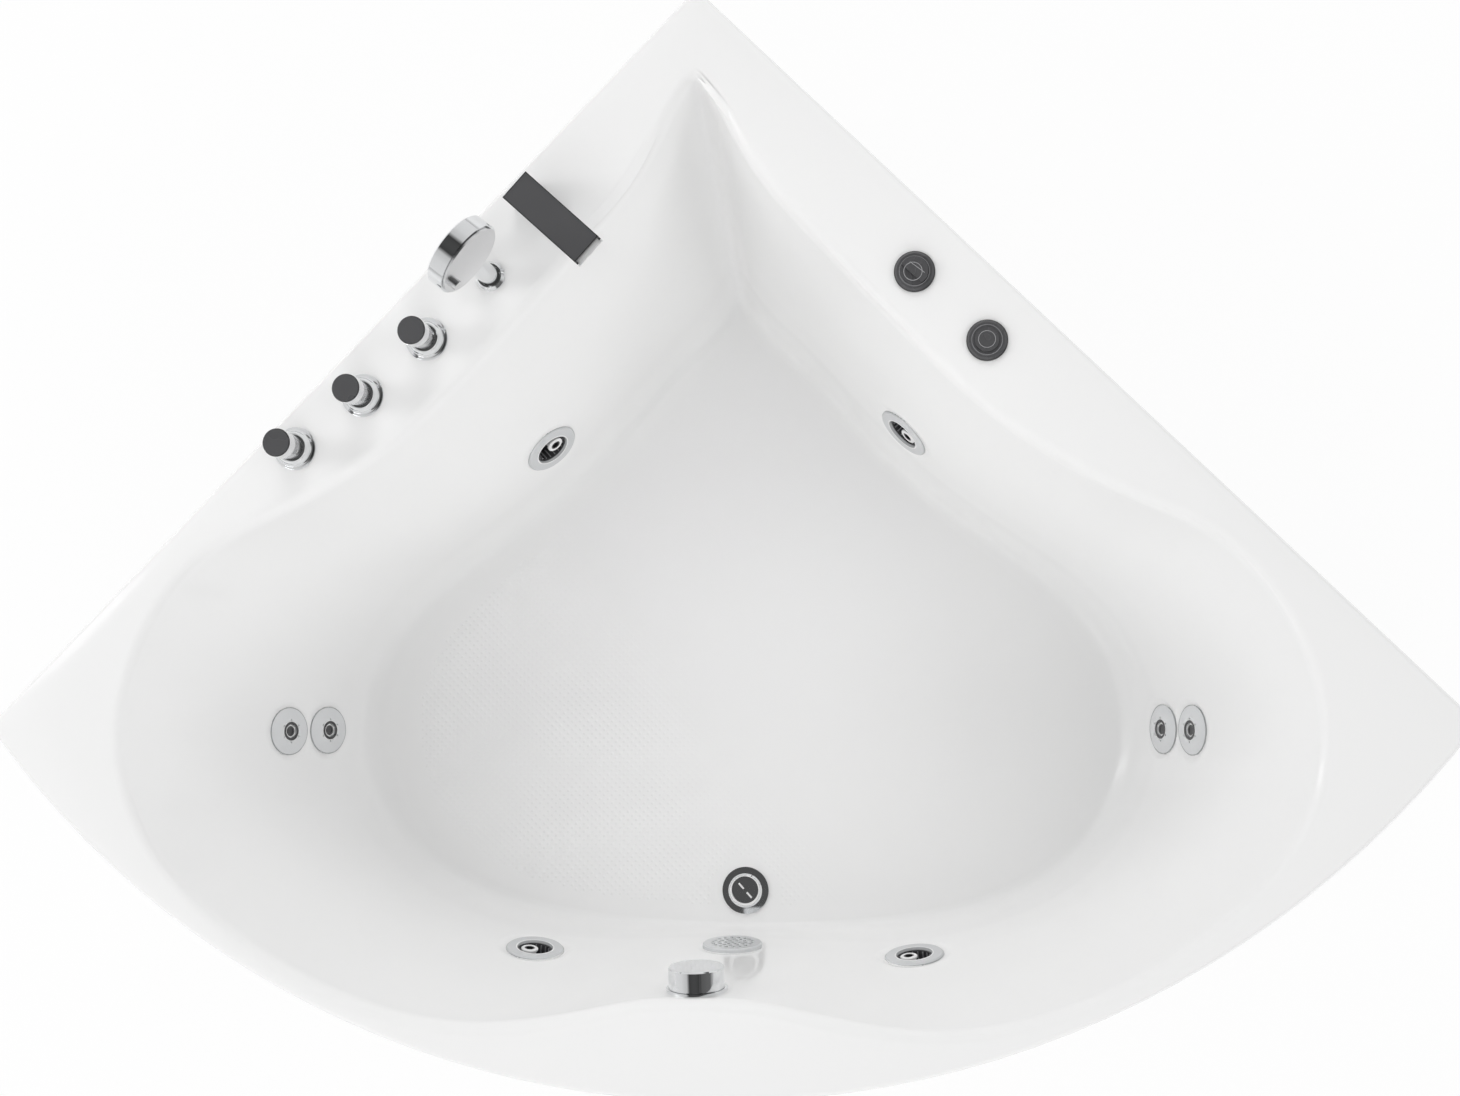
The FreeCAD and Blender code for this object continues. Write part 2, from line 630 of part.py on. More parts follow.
def jet_body():
    top = -BOSS_BACK - JET_NUT_THICK - FIT_GAP
    cup = disc(JET_BODY_R, -JET_BODY_END, top)
    return cup.cut(disc(JET_NECK_R + FIT_GAP, -JET_NECK_LENGTH - JET_BODY_WALL, top))


def jet_end(seat):
    """The middle of a large jet's body, where its water and air spigots meet."""
    return seat_point(seat, -JET_BODY_END + JET_SPIGOT_R + JET_BODY_WALL)


def level(point, height):
    return Vector(point.x, point.y, height)


def jet_body_with_spigots(seat):
    middle = jet_end(seat)
    water = between(middle, level(middle, WATER_RING_HEIGHT), JET_SPIGOT_R)
    air = between(middle, level(middle, AIR_RING_HEIGHT), AIR_SPIGOT_R)
    hollow = stand(disc(JET_NECK_R + FIT_GAP, -JET_NECK_LENGTH - JET_BODY_WALL, 0.0), seat)
    return fused([stand(jet_body(), seat), water.cut(hollow), air.cut(hollow)])


def back_jet_flange():
    profile = (
        (BACK_JET_HUB_R + FIT_GAP, -BOSS_BACK), (BACK_JET_NECK_R, -BOSS_BACK), (BACK_JET_NECK_R, 0.0),
        (BACK_JET_R, 0.0), (BACK_JET_R, BACK_JET_RIM), (BACK_JET_NECK_R, BACK_JET_DOME),
        (BACK_JET_HUB_R + FIT_GAP, BACK_JET_DOME),
    )
    face = turned(profile)
    holes = []
    for k in range(BACK_JET_HOLES):
        hole = disc(BACK_JET_HOLE_R, BACK_JET_DOME - BACK_JET_RIM, BACK_JET_DOME + BACK_JET_RIM)
        hole.translate(Vector(BACK_JET_HOLE_CIRCLE, 0.0, 0.0))
        hole.rotate(HERE, UP, 360.0 * k / BACK_JET_HOLES)
        holes.append(hole)
    return face.cut(holes)


def back_jet_insert():
    """The hexagonal outlet in the middle of a small jet."""
    hub = prism(6, BACK_JET_HUB_R, -BOSS_BACK, BACK_JET_DOME - BACK_JET_RIM)
    return hub.cut(disc(BACK_JET_HUB_R / 2.0, -BACK_JET_RIM, BACK_JET_DOME))


def back_jet_end(seat):
    return seat_point(seat, -BACK_JET_BODY_END + BRIDGE_R + BACK_JET_RIM)


def back_jet_pair(low_seat, high_seat):
    """Both bodies on one side, joined by a short bridge, with one water and one air spigot."""
    body = disc(BACK_JET_BODY_R, -BACK_JET_BODY_END, -BOSS_BACK)
    low = back_jet_end(low_seat)
    high = back_jet_end(high_seat)
    return fused([
        stand(body, low_seat),
        stand(body, high_seat),
        between(low, high, BRIDGE_R),
        between(low, level(low, WATER_RING_HEIGHT), JET_SPIGOT_R),
        between(high, level(high, AIR_RING_HEIGHT), AIR_SPIGOT_R),
    ])


def suction_flange():
    face = tube(SUCTION_R, SUCTION_NECK_R - JET_SOCKET_WALL, 0.0, GRILLE_THICK - BACK_JET_RIM)
    neck = tube(SUCTION_NECK_R, SUCTION_NECK_R - JET_SOCKET_WALL, -JET_NECK_LENGTH, 0.0)
    return face.fuse(neck).removeSplitter()


def suction_grille():
    """A plate of six-sided holes in rings, which covers the flange."""
    low = GRILLE_THICK - BACK_JET_RIM
    plate = disc(SUCTION_R, low, GRILLE_THICK + BACK_JET_RIM)
    edge = [e for e in plate.Edges if e.BoundBox.ZMin > GRILLE_THICK]
    plate = plate.makeChamfer(BACK_JET_RIM, edge)
    holes = [prism(6, GRILLE_HOLE_R, low, GRILLE_THICK + BACK_JET_RIM)]
    for ring in range(1, GRILLE_RINGS + 1):
        for k in range(6 * ring):
            hole = prism(6, GRILLE_HOLE_R, low, GRILLE_THICK + BACK_JET_RIM)
            hole.translate(Vector(ring * GRILLE_PITCH, 0.0, 0.0))
            hole.rotate(HERE, UP, 360.0 * k / (6 * ring))
            holes.append(hole)
    return plate.cut(holes)


def suction_body():
    top = -BOSS_BACK - JET_NUT_THICK - FIT_GAP
    cup = disc(SUCTION_BODY_R, -SUCTION_BODY_END, top)
    cup = cup.cut(disc(SUCTION_NECK_R + FIT_GAP, -JET_NECK_LENGTH - JET_BODY_WALL, top))
    middle = suction_end()
    spigot = between(middle, suction_outlet(), SUCTION_PIPE_R)
    hollow = stand(disc(SUCTION_NECK_R + FIT_GAP, -JET_NECK_LENGTH - JET_BODY_WALL, 0.0), SUCTION_SEAT)
    return fused([stand(cup, SUCTION_SEAT), spigot.cut(hollow)])


def suction_end():
    return seat_point(SUCTION_SEAT, -SUCTION_BODY_END + SUCTION_PIPE_R)


def suction_outlet():
    middle = suction_end()
    return level(middle, middle.z - SUCTION_BODY_R - JET_NUT_THICK)


# ================================================================ waste and overflow
def waste_flange():
    """The chrome ring in the floor and its threaded neck, with a spider that guides the plug."""
    rim = tube(DRAIN_FLANGE_R, DRAIN_BORE_R, 0.0, DRAIN_FLANGE_THICK)
    neck = tube(DRAIN_NECK_R, DRAIN_BORE_R, -DRAIN_NECK_LENGTH, 0.0)
    low = -DRAIN_NECK_LENGTH
    arm = Vector(DRAIN_BORE_R + RUNNING_GAP, PLUG_STEM_R / 2.0, low + DRAIN_FLANGE_THICK)
    bar = block(Vector(-arm.x, -arm.y, low), arm)
    cross = bar.copy()
    cross.rotate(HERE, UP, 90.0)
    hub = disc(PLUG_STEM_R + DRAIN_FLANGE_THICK, low, low + DRAIN_FLANGE_THICK)
    whole = fused([rim, neck, bar, cross, hub])
    return whole.cut(disc(PLUG_STEM_R + RUNNING_GAP, low, 0.0))


def plug():
    """The pop-up plug: a domed disc with a raised ring, on a stem."""
    low = DRAIN_FLANGE_THICK + FIT_GAP
    profile = (
        (0.0, low), (PLUG_R, low), (PLUG_R, low + PLUG_THICK / 2.0), (PLUG_R - PLUG_THICK / 2.0, low + PLUG_THICK),
        (PLUG_R - PLUG_THICK, low + PLUG_THICK), (PLUG_R - PLUG_THICK, low + PLUG_THICK / 2.0),
        (0.0, low + PLUG_THICK / 2.0),
    )
    stem = disc(PLUG_STEM_R, -DRAIN_NECK_LENGTH - PLUG_TRAVEL / 2.0, low)
    return turned(profile).fuse(stem).removeSplitter()


def waste_body():
    """The cup under the floor with the outlet socket on its side."""
    top = -BOSS_BACK
    low = WASTE_BODY_LOW - FLOOR_HEIGHT
    cup = disc(WASTE_BODY_R, low, top).cut(disc(DRAIN_NECK_R + FIT_GAP, low + JET_BODY_WALL, top))
    centre = Vector(0.0, 0.0, WASTE_AXIS_HEIGHT - FLOOR_HEIGHT)
    reach = WASTE_BODY_R + WASTE_SOCKET_R
    socket = between(centre, centre + Vector(reach, 0.0, 0.0), WASTE_SOCKET_R)
    socket = socket.common(block(Vector(0.0, -WASTE_BODY_R, low), Vector(reach, WASTE_BODY_R, top)))
    whole = cup.fuse(socket.cut(disc(DRAIN_NECK_R + FIT_GAP, low + JET_BODY_WALL, top)))
    bore = between(centre, centre + Vector(reach, 0.0, 0.0), WASTE_PIPE_R + RUNNING_GAP)
    return whole.cut(bore).removeSplitter()


def waste_pipe():
    """The pipe from the waste's socket to its free spigot, with a collar where the spigot starts."""
    start = Vector(WASTE_BODY_R + JET_BODY_WALL, 0.0, WASTE_AXIS_HEIGHT - FLOOR_HEIGHT)
    end = start + Vector(WASTE_PIPE_LENGTH, 0.0, 0.0)
    stop = end - Vector(WASTE_SPIGOT_LENGTH, 0.0, 0.0)
    collar = between(stop - Vector(WASTE_COLLAR_THICK, 0.0, 0.0), stop, WASTE_COLLAR_R)
    return fused([between(start, end, WASTE_PIPE_R), collar]).cut(between(start, end, WASTE_PIPE_BORE_R))


def overflow_plate():
    """The plate against the wall, with the neck that goes through it and the knob's spindle."""
    plate = disc(OVERFLOW_PLATE_R, 0.0, OVERFLOW_PLATE_THICK)
    neck = disc(OVERFLOW_NECK_R, -JET_NECK_LENGTH, 0.0)
    spindle = disc(OVERFLOW_SPINDLE_R, OVERFLOW_PLATE_THICK, OVERFLOW_KNOB_DEPTH / 2.0)
    return fused([plate, neck, spindle])


def overflow_knob():
    low = OVERFLOW_PLATE_THICK + FIT_GAP
    high = OVERFLOW_KNOB_DEPTH
    knob = disc(OVERFLOW_KNOB_R, low, high)
    edge = [e for e in knob.Edges if e.BoundBox.ZMin > OVERFLOW_KNOB_DEPTH / 2.0]
    knob = knob.makeChamfer(OVERFLOW_KNOB_WALL / 2.0, edge)
    room = tube(OVERFLOW_KNOB_R - OVERFLOW_KNOB_WALL, OVERFLOW_KNOB_HUB_R, low, high - OVERFLOW_KNOB_WALL)
    bore = disc(OVERFLOW_SPINDLE_R + RUNNING_GAP, low, OVERFLOW_KNOB_DEPTH / 2.0 + FIT_GAP)
    return knob.cut([room, bore])


def overflow_end():
    return seat_point(OVERFLOW_SEAT, -OVERFLOW_BODY_END + OVERFLOW_PIPE_R)


def overflow_body():
    cup = disc(OVERFLOW_BODY_R, -OVERFLOW_BODY_END, -BOSS_BACK)
    cup = stand(cup.cut(disc(OVERFLOW_NECK_R + FIT_GAP, -JET_NECK_LENGTH - FIT_GAP, -BOSS_BACK)), OVERFLOW_SEAT)
    spigot = between(overflow_end(), overflow_outlet(), OVERFLOW_PIPE_R)
    neck = stand(disc(OVERFLOW_NECK_R + FIT_GAP, -JET_NECK_LENGTH - FIT_GAP, 0.0), OVERFLOW_SEAT)
    return fused([cup, spigot.cut(neck)])


def overflow_outlet():
    middle = overflow_end()
    return level(middle, middle.z - OVERFLOW_BODY_R - JET_NUT_THICK)


def overflow_pipe():
    """From the overflow's spigot down beside the suction fitting to the waste's body."""
    top = overflow_outlet()
    beside = Vector(SUCTION_X - SUCTION_R - 2.0 * OVERFLOW_PIPE_R, top.y, 0.0)
    drain = DRAIN_SEAT[0]
    low = SUCTION_PIPE_HEIGHT + SUCTION_PIPE_R + OVERFLOW_PIPE_R + JET_BODY_WALL
    approach = Vector(beside.x - drain.x, beside.y - drain.y, 0.0).normalize()
    end = level(drain, low) + approach * (WASTE_BODY_R + FIT_GAP)
    points = [
        top, level(top, top.z - PIPE_BEND), level(beside, top.z - 3.0 * PIPE_BEND), level(beside, low), end,
    ]
    return pipe(points, OVERFLOW_PIPE_R, OVERFLOW_PIPE_R * 1.5)


# ================================================================ taps
def valve_escutcheon():
    profile = (
        (VALVE_SPINDLE_R + RUNNING_GAP, 0.0), (VALVE_FLANGE_R, 0.0), (VALVE_FLANGE_R, VALVE_FLANGE_THICK),
        (VALVE_FLANGE_R - VALVE_FLANGE_THICK, VALVE_FLANGE_THICK * 2.0), (VALVE_DOME_R, VALVE_DOME_HEIGHT),
        (VALVE_SPINDLE_R + RUNNING_GAP, VALVE_DOME_HEIGHT),
    )
    return turned(profile)


def valve_handle():
    low = VALVE_DOME_HEIGHT + FIT_GAP
    top = HANDLE_TOP
    profile = ((0.0, low), (HANDLE_FOOT_R, low), (HANDLE_R, top - HANDLE_R), (HANDLE_R, top), (0.0, top))
    stem = disc(VALVE_SPINDLE_R, -VALVE_SPINDLE_DEPTH, low)
    return turned(profile).fuse(stem).removeSplitter()


def handle_cap():
    return disc(CAP_R, HANDLE_TOP, HANDLE_TOP + CAP_THICK)


def valve_tail():
    """The tail for a supply hose, leaning to the wall, with a shoulder that the hose's nut meets."""
    lean = math.radians(TAIL_LEAN)
    way = Vector(-math.sin(lean), 0.0, -math.cos(lean))
    start = Vector(0.0, 0.0, TAIL_R - VALVE_BODY_DEPTH)
    stop = start + way * (TAIL_R + TAIL_SHOULDER)
    return [between(start, stop, TAIL_SHOULDER_R), between(stop, stop + way * TAIL_LENGTH, TAIL_R)]


def valve_body(tails):
    """The body under the deck with its clamping nut and its tails."""
    body = disc(VALVE_BODY_R, -VALVE_BODY_DEPTH, 0.0)
    nut = prism(6, VALVE_NUT_R, -SHELL - VALVE_NUT_THICK, -SHELL)
    bore = disc(VALVE_SPINDLE_R + RUNNING_GAP, -VALVE_SPINDLE_DEPTH - FIT_GAP, 0.0)
    return fused([body, nut] + tails).cut(bore)


def shower_holder():
    """The bush in the deck that the hand shower stands in."""
    profile = (
        (SHOWER_HANDLE_R + FIT_GAP, -SHOWER_HANDLE_SOCKET), (SHOWER_HANDLE_R + 3.0, -SHOWER_HANDLE_SOCKET),
        (SHOWER_HANDLE_R + 3.0, 0.0), (SHOWER_RING_R, 0.0), (SHOWER_RING_R, SHOWER_RING_HEIGHT / 2.0),
        (SHOWER_HANDLE_R + 3.0, SHOWER_RING_HEIGHT), (SHOWER_HANDLE_R + FIT_GAP, SHOWER_RING_HEIGHT),
    )
    return turned(profile)


def lay_on_edge(shape):
    """Turns a disc drawn on Z so that it faces along X, at the head's height."""
    shape.rotate(HERE, Vector(0.0, 1.0, 0.0), 90.0)
    shape.translate(UP * SHOWER_HEAD_HEIGHT)
    return shape


def hand_shower():
    """The handle and the round head on its end, one moulding."""
    half = SHOWER_HEAD_THICK / 2.0
    drum = disc(SHOWER_HEAD_R, -half, half)
    edge = [e for e in drum.Edges if e.BoundBox.ZMax < 0.0]
    head = lay_on_edge(drum.makeChamfer(half / 6.0, edge))
    handle = disc(SHOWER_HANDLE_R, -SHOWER_HANDLE_SOCKET, SHOWER_HEAD_HEIGHT - SHOWER_HEAD_R / 2.0)
    front = block(
        Vector(half, -SHOWER_HEAD_R, SHOWER_HEAD_HEIGHT - SHOWER_HEAD_R),
        Vector(SHOWER_HEAD_R, SHOWER_HEAD_R, SHOWER_HEAD_HEIGHT),
    )
    pivot = lay_on_edge(disc(SHOWER_PIVOT_R + RUNNING_GAP, half - SHOWER_PIVOT_DEPTH, half))
    return fused([head, handle.cut(front)]).cut(pivot)


def shower_face():
    """The spray plate, which turns by its lug on a pivot in the head."""
    low = SHOWER_HEAD_THICK / 2.0 + FIT_GAP
    plate = disc(SHOWER_FACE_R, low, low + SHOWER_FACE_THICK)
    pivot = disc(SHOWER_PIVOT_R, low - SHOWER_PIVOT_DEPTH + 2.0 * FIT_GAP, low)
    lug = disc(SHOWER_LUG_R, low + SHOWER_FACE_THICK, low + SHOWER_FACE_THICK + SHOWER_LUG_LENGTH)
    lug.translate(Vector(0.0, -SHOWER_LUG_REACH, 0.0))
    return lay_on_edge(fused([plate, pivot, lug]))


# ================================================================ spout
def spout_body():
    """A foot on the deck and an arm with the open water channel under the top plate."""
    half = SPOUT_WIDTH / 2.0
    arm_top = SPOUT_TOP - SPOUT_PLATE_THICK
    outline = [
        Vector(0.0, -half, 0.0), Vector(SPOUT_BASE_LENGTH, -half, 0.0),
        Vector(SPOUT_BASE_LENGTH, -half, arm_top - SPOUT_ARM_THICK),
        Vector(SPOUT_LENGTH, -half, arm_top - SPOUT_ARM_THICK / 1.4), Vector(SPOUT_LENGTH, -half, arm_top),
        Vector(0.0, -half, arm_top),
    ]
    body = Part.Face(Part.makePolygon(outline + outline[:1])).extrude(Vector(0.0, SPOUT_WIDTH, 0.0))
    inner = half - SPOUT_CHANNEL_WALL
    channel = block(
        Vector(SPOUT_CHANNEL_WALL, -inner, arm_top - SPOUT_CHANNEL_DEPTH), Vector(SPOUT_LENGTH, inner, arm_top)
    )
    return body.cut(channel)


def spout_plate():
    half = SPOUT_WIDTH / 2.0
    return block(Vector(0.0, -half, SPOUT_TOP - SPOUT_PLATE_THICK), Vector(SPOUT_PLATE_LENGTH, half, SPOUT_TOP))


def spout_shank():
    shank = disc(SPOUT_SHANK_R, -SUPPLY_DROP - 2.0 * SUPPLY_PIPE_R, 0.0)
    nut = prism(6, VALVE_NUT_R, -SHELL - VALVE_NUT_THICK, -SHELL)
    return shank.fuse(nut).removeSplitter()


def supply_pipes():
    """The pipe under the deck from valve to valve and on to the spout."""
    seats = [VALVE_SEATS[2], VALVE_SEATS[1], VALVE_SEATS[0]]
    points = [seat_point(seat, -SUPPLY_DROP) for seat in seats]
    bodies = [stand(disc(VALVE_BODY_R, -VALVE_BODY_DEPTH, 0.0), seat) for seat in seats]
    runs = [between(start, end, SUPPLY_PIPE_R).cut(bodies) for start, end in zip(points, points[1:])]
    spout = seat_point(SPOUT_SHANK_SEAT, -SUPPLY_DROP)
    shank = stand(disc(SPOUT_SHANK_R, -BASIN_DEPTH, 0.0), SPOUT_SHANK_SEAT)
    wall = Vector(HALF_DIAGONAL, HALF_DIAGONAL, 0.0)
    inward = Vector(HALF_DIAGONAL, -HALF_DIAGONAL, 0.0)
    clear = seat_point(SHOWER_SEAT, -SUPPLY_DROP) + inward * (-SHOWER_HANDLE_R - 3.0 * SUPPLY_PIPE_R)
    bypass = pipe([points[2], clear - wall * PIPE_BEND, clear + wall * PIPE_BEND, spout], SUPPLY_PIPE_R, PIPE_BEND)
    return runs + [bypass.cut(bodies + [shank])]


# ================================================================ controls on the right
def control_housing():
    """A ring round a well, on a threaded shank that is closed below."""
    ring = turned((
        (0.0, 0.0), (CONTROL_R, 0.0), (CONTROL_R, CONTROL_RING_HEIGHT / 2.0),
        (CONTROL_R - CONTROL_RING_HEIGHT / 2.0, CONTROL_RING_HEIGHT), (0.0, CONTROL_RING_HEIGHT),
    ))
    shank = disc(CONTROL_SHANK_R, -CONTROL_SHANK_DEPTH, 0.0)
    nut = prism(6, CONTROL_NUT_R, -SHELL - VALVE_NUT_THICK, -SHELL)
    well = disc(CONTROL_WELL_R, CONTROL_WELL_FLOOR, CONTROL_RING_HEIGHT)
    return fused([ring, shank, nut]).cut(well)


def regulator_housing():
    bore = disc(REGULATOR_STEM_R + RUNNING_GAP, -CONTROL_WELL_R, CONTROL_WELL_FLOOR)
    return control_housing().cut(bore)


def regulator_knob():
    """A low knob cut back on one side, which leaves the step that fingers turn it by."""
    low = CONTROL_WELL_FLOOR + FIT_GAP
    knob = disc(CONTROL_WELL_R - FIT_GAP, low, REGULATOR_TOP)
    step = block(
        Vector(REGULATOR_GRIP, -CONTROL_R, REGULATOR_TOP - REGULATOR_GRIP), Vector(CONTROL_R, CONTROL_R, CONTROL_R)
    )
    stem = disc(REGULATOR_STEM_R, -CONTROL_WELL_R + FIT_GAP, low)
    return knob.cut(step).fuse(stem).removeSplitter()


def button_housing():
    depth = BUTTON_TRAVEL + CONTROL_RING_HEIGHT + CONTROL_WELL_R
    collar = tube(CONTROL_WELL_R, BUTTON_R + FIT_GAP, CONTROL_WELL_FLOOR, CONTROL_RING_HEIGHT)
    bore = disc(BUTTON_STEM_R + RUNNING_GAP, -depth, CONTROL_WELL_FLOOR)
    return control_housing().fuse(collar).removeSplitter().cut(bore)


def button_cap():
    low = CONTROL_WELL_FLOOR + BUTTON_TRAVEL + FIT_GAP
    cap = disc(BUTTON_R, low, BUTTON_TOP)
    stem = disc(BUTTON_STEM_R, -CONTROL_WELL_R, low)
    return cap.fuse(stem).removeSplitter()


# ================================================================ pump
def pump_axis(y):
    return Vector(PUMP_X, y, PUMP_AXIS_HEIGHT)


def pump_wet_end():
    """The round housing with its inlet on the axis and its outlet straight up to the water ring."""
    front = pump_axis(PUMP_Y_FRONT)
    back = pump_axis(PUMP_Y_FRONT + PUMP_VOLUTE_LENGTH)
    inlet = between(front - Vector(0.0, PUMP_VOLUTE_R / 2.0, 0.0), front, SUCTION_PIPE_R + JET_BODY_WALL)
    middle = (front + back) * 0.5
    outlet = between(middle, level(middle, WATER_RING_HEIGHT), WATER_RING_R + JET_BODY_WALL)
    cover = between(back, back + Vector(0.0, PUMP_BASE_THICK, 0.0), PUMP_VOLUTE_R + PUMP_COVER_RIM)
    foot = block(
        Vector(PUMP_X - MOTOR_R / 2.0, front.y + PUMP_BASE_THICK, PUMP_PAD_HEIGHT + PUMP_BASE_THICK),
        Vector(PUMP_X + MOTOR_R / 2.0, back.y, PUMP_AXIS_HEIGHT),
    )
    return fused([between(front, back, PUMP_VOLUTE_R), inlet, outlet, cover, foot])


def pump_motor():
    start = pump_axis(PUMP_Y_FRONT + PUMP_VOLUTE_LENGTH + PUMP_BASE_THICK)
    end = start + Vector(0.0, MOTOR_LENGTH, 0.0)
    shell = between(start, end, MOTOR_R - MOTOR_FIN_HEIGHT)
    cover = between(end - Vector(0.0, FAN_COVER_LENGTH, 0.0), end, MOTOR_R)
    fins = []
    for k in range(MOTOR_FINS):
        low = Vector(-MOTOR_FIN_THICK / 2.0, 0.0, MOTOR_R / 2.0)
        high = Vector(MOTOR_FIN_THICK / 2.0, MOTOR_LENGTH - FAN_COVER_LENGTH, MOTOR_R - 1.0)
        fin = block(low, high)
        fin.rotate(HERE, Vector(0.0, 1.0, 0.0), 360.0 * k / MOTOR_FINS)
        fin.translate(start)
        fins.append(fin)
    foot = block(
        Vector(PUMP_X - MOTOR_R / 2.0, start.y + PUMP_BASE_THICK, PUMP_PAD_HEIGHT + PUMP_BASE_THICK),
        Vector(PUMP_X + MOTOR_R / 2.0, end.y - FAN_COVER_LENGTH - PUMP_BASE_THICK, PUMP_AXIS_HEIGHT),
    )
    return fused([shell, cover, foot] + fins)


def terminal_box():
    """The box on the motor's side with the gland for the mains lead."""
    wide, long, tall = TERMINAL_BOX
    start = pump_axis(PUMP_Y_FRONT + PUMP_VOLUTE_LENGTH + 2.0 * MOTOR_R)
    low = Vector(start.x - MOTOR_R - wide, start.y - long / 2.0, start.z - tall / 2.0)
    box = block(low, low + Vector(wide, long, tall))
    gland = Vector(low.x + wide / 2.0, low.y + long, start.z)
    end = gland + Vector(0.0, GLAND_LENGTH, 0.0)
    bore = between(gland - Vector(0.0, GLAND_LENGTH, 0.0), end, GLAND_BORE_R)
    return box.fuse(between(gland, end, GLAND_R)).removeSplitter().cut(bore)


def pump_base():
    centre_y = PUMP_Y_FRONT + PUMP_BASE_LENGTH / 2.0
    plate = block(
        Vector(PUMP_X - PUMP_BASE_WIDTH / 2.0, centre_y - PUMP_BASE_LENGTH / 2.0, PUMP_PAD_HEIGHT),
        Vector(PUMP_X + PUMP_BASE_WIDTH / 2.0, centre_y + PUMP_BASE_LENGTH / 2.0, PUMP_PAD_HEIGHT + PUMP_BASE_THICK),
    )
    return plate


def pump_pads():
    centre_y = PUMP_Y_FRONT + PUMP_BASE_LENGTH / 2.0
    pads = []
    for side_x in (-1.0, 1.0):
        for side_y in (-1.0, 1.0):
            x = PUMP_X + side_x * (PUMP_BASE_WIDTH / 2.0 - PUMP_PAD_R)
            y = centre_y + side_y * (PUMP_BASE_LENGTH / 2.0 - PUMP_PAD_R)
            pads.append(Part.makeCylinder(PUMP_PAD_R, PUMP_PAD_HEIGHT, Vector(x, y, 0.0)))
    return pads


# ================================================================ pipework
def suction_pipe():
    top = suction_outlet()
    inlet = pump_axis(PUMP_Y_FRONT - PUMP_VOLUTE_R / 2.0)
    first, last = SUCTION_BEND
    points = [
        top, level(top, SUCTION_PIPE_HEIGHT), Vector(first[0], first[1], SUCTION_PIPE_HEIGHT),
        Vector(last[0], last[1], PUMP_AXIS_HEIGHT), inlet,
    ]
    return pipe(points, SUCTION_PIPE_R, PIPE_BEND)


def ring_route(height, side_x):
    """Round the back of the basin, past every large jet and both pairs of small ones."""
    left_wall, right_wall, left_front, right_front = [level(jet_end(seat), height) for seat in LARGE_JETS]
    left = [Vector(-x, y, height) for x, y in ring_side(side_x)]
    right = [Vector(x, y, height) for x, y in ring_side(side_x)]
    apex = Vector(0.0, RING_APEX, height)
    return [left_front] + left + [left_wall, apex, right_wall] + right[::-1] + [right_front]


def ring_side(side_x):
    return [RING_SHOULDER, (side_x, RING_SIDE[0]), (side_x, RING_SIDE[1])]


def water_ring(bodies, wet_end):
    side_x = back_jet_end(BACK_JETS[2]).x
    return pipe(ring_route(WATER_RING_HEIGHT, side_x), WATER_RING_R, PIPE_BEND).cut(bodies + [wet_end])


def air_ring(bodies):
    side_x = back_jet_end(BACK_JETS[3]).x
    return pipe(ring_route(AIR_RING_HEIGHT, side_x), AIR_RING_R, PIPE_BEND).cut(bodies)


def air_intake(ring):
    """From the air regulator's shank down to the air ring."""
    top = seat_point(REGULATOR_SEAT, -CONTROL_SHANK_DEPTH - FIT_GAP)
    right_wall = level(jet_end(LARGE_JETS[1]), AIR_RING_HEIGHT)
    apex = Vector(0.0, RING_APEX, AIR_RING_HEIGHT)
    along = (apex - right_wall).normalize()
    target = right_wall + along * (level(top, AIR_RING_HEIGHT) - right_wall).dot(along)
    points = [top, level(top, AIR_RING_HEIGHT), target]
    return pipe(points, AIR_RING_R, AIR_RING_R * 2.0).cut(ring)


# ================================================================ frame and feet
def base_board():
    outline = chord_ring(floor_outline(-BOARD_INSET), RAIL_TOP)
    board = Part.Face(outline).extrude(UP * BOARD_THICK)
    opening = disc(DRAIN_FLANGE_R + 2.0 * BOSS_MARGIN, RAIL_LOW, FLOOR_HEIGHT)
    return board.cut(placed(opening, level(DRAIN_SEAT[0], 0.0)))


def square_bar(start, end, width):
    """A bar of square section that lies with the middle of its underside on the line."""
    along = (end - start).normalize()
    side = UP.cross(along) * (width / 2.0)
    corners = [start - side, start + side, start + side + UP * width, start - side + UP * width]
    return Part.Face(Part.makePolygon(corners + corners[:1])).extrude(end - start)


def rail(start, end):
    """A square tube along a line."""
    inside = square_bar(start + UP * TUBE_WALL, end + UP * TUBE_WALL, TUBE - 2.0 * TUBE_WALL)
    return square_bar(start, end, TUBE).cut(inside)


def frame_corners():
    def both(point):
        return [Vector(side * point[0], point[1], RAIL_LOW) for side in (-1.0, 1.0)]

    corner = Vector(0.0, CORNER_POST_Y, RAIL_LOW)
    left_tip, right_tip = both(TIP_POST)
    left_shoulder, right_shoulder = both(SHOULDER)
    left_front, right_front = both(FRONT_POST)
    return [corner, right_tip, right_shoulder, right_front, left_front, left_shoulder, left_tip]


def hub(point):
    """The round socket that joins two rails and takes a foot's rod."""
    return Part.makeCylinder(HUB_R, TUBE, point)


def perimeter_rails():
    corners = frame_corners()
    rails = [rail(start, end) for start, end in zip(corners, corners[1:] + corners[:1])]
    hubs = [hub(corner) for corner in corners]
    return [piece.cut(hubs) for piece in rails], hubs


def cross_rails(rails):
    pieces = []
    for y in CROSS_RAIL_Y:
        start = Vector(-HALF_WIDTH, y, RAIL_LOW)
        whole = rail(start, Vector(HALF_WIDTH, y, RAIL_LOW)).cut(rails)
        pieces.append(min(whole.Solids, key=lambda solid: abs(solid.CenterOfMass.x)))
    return pieces


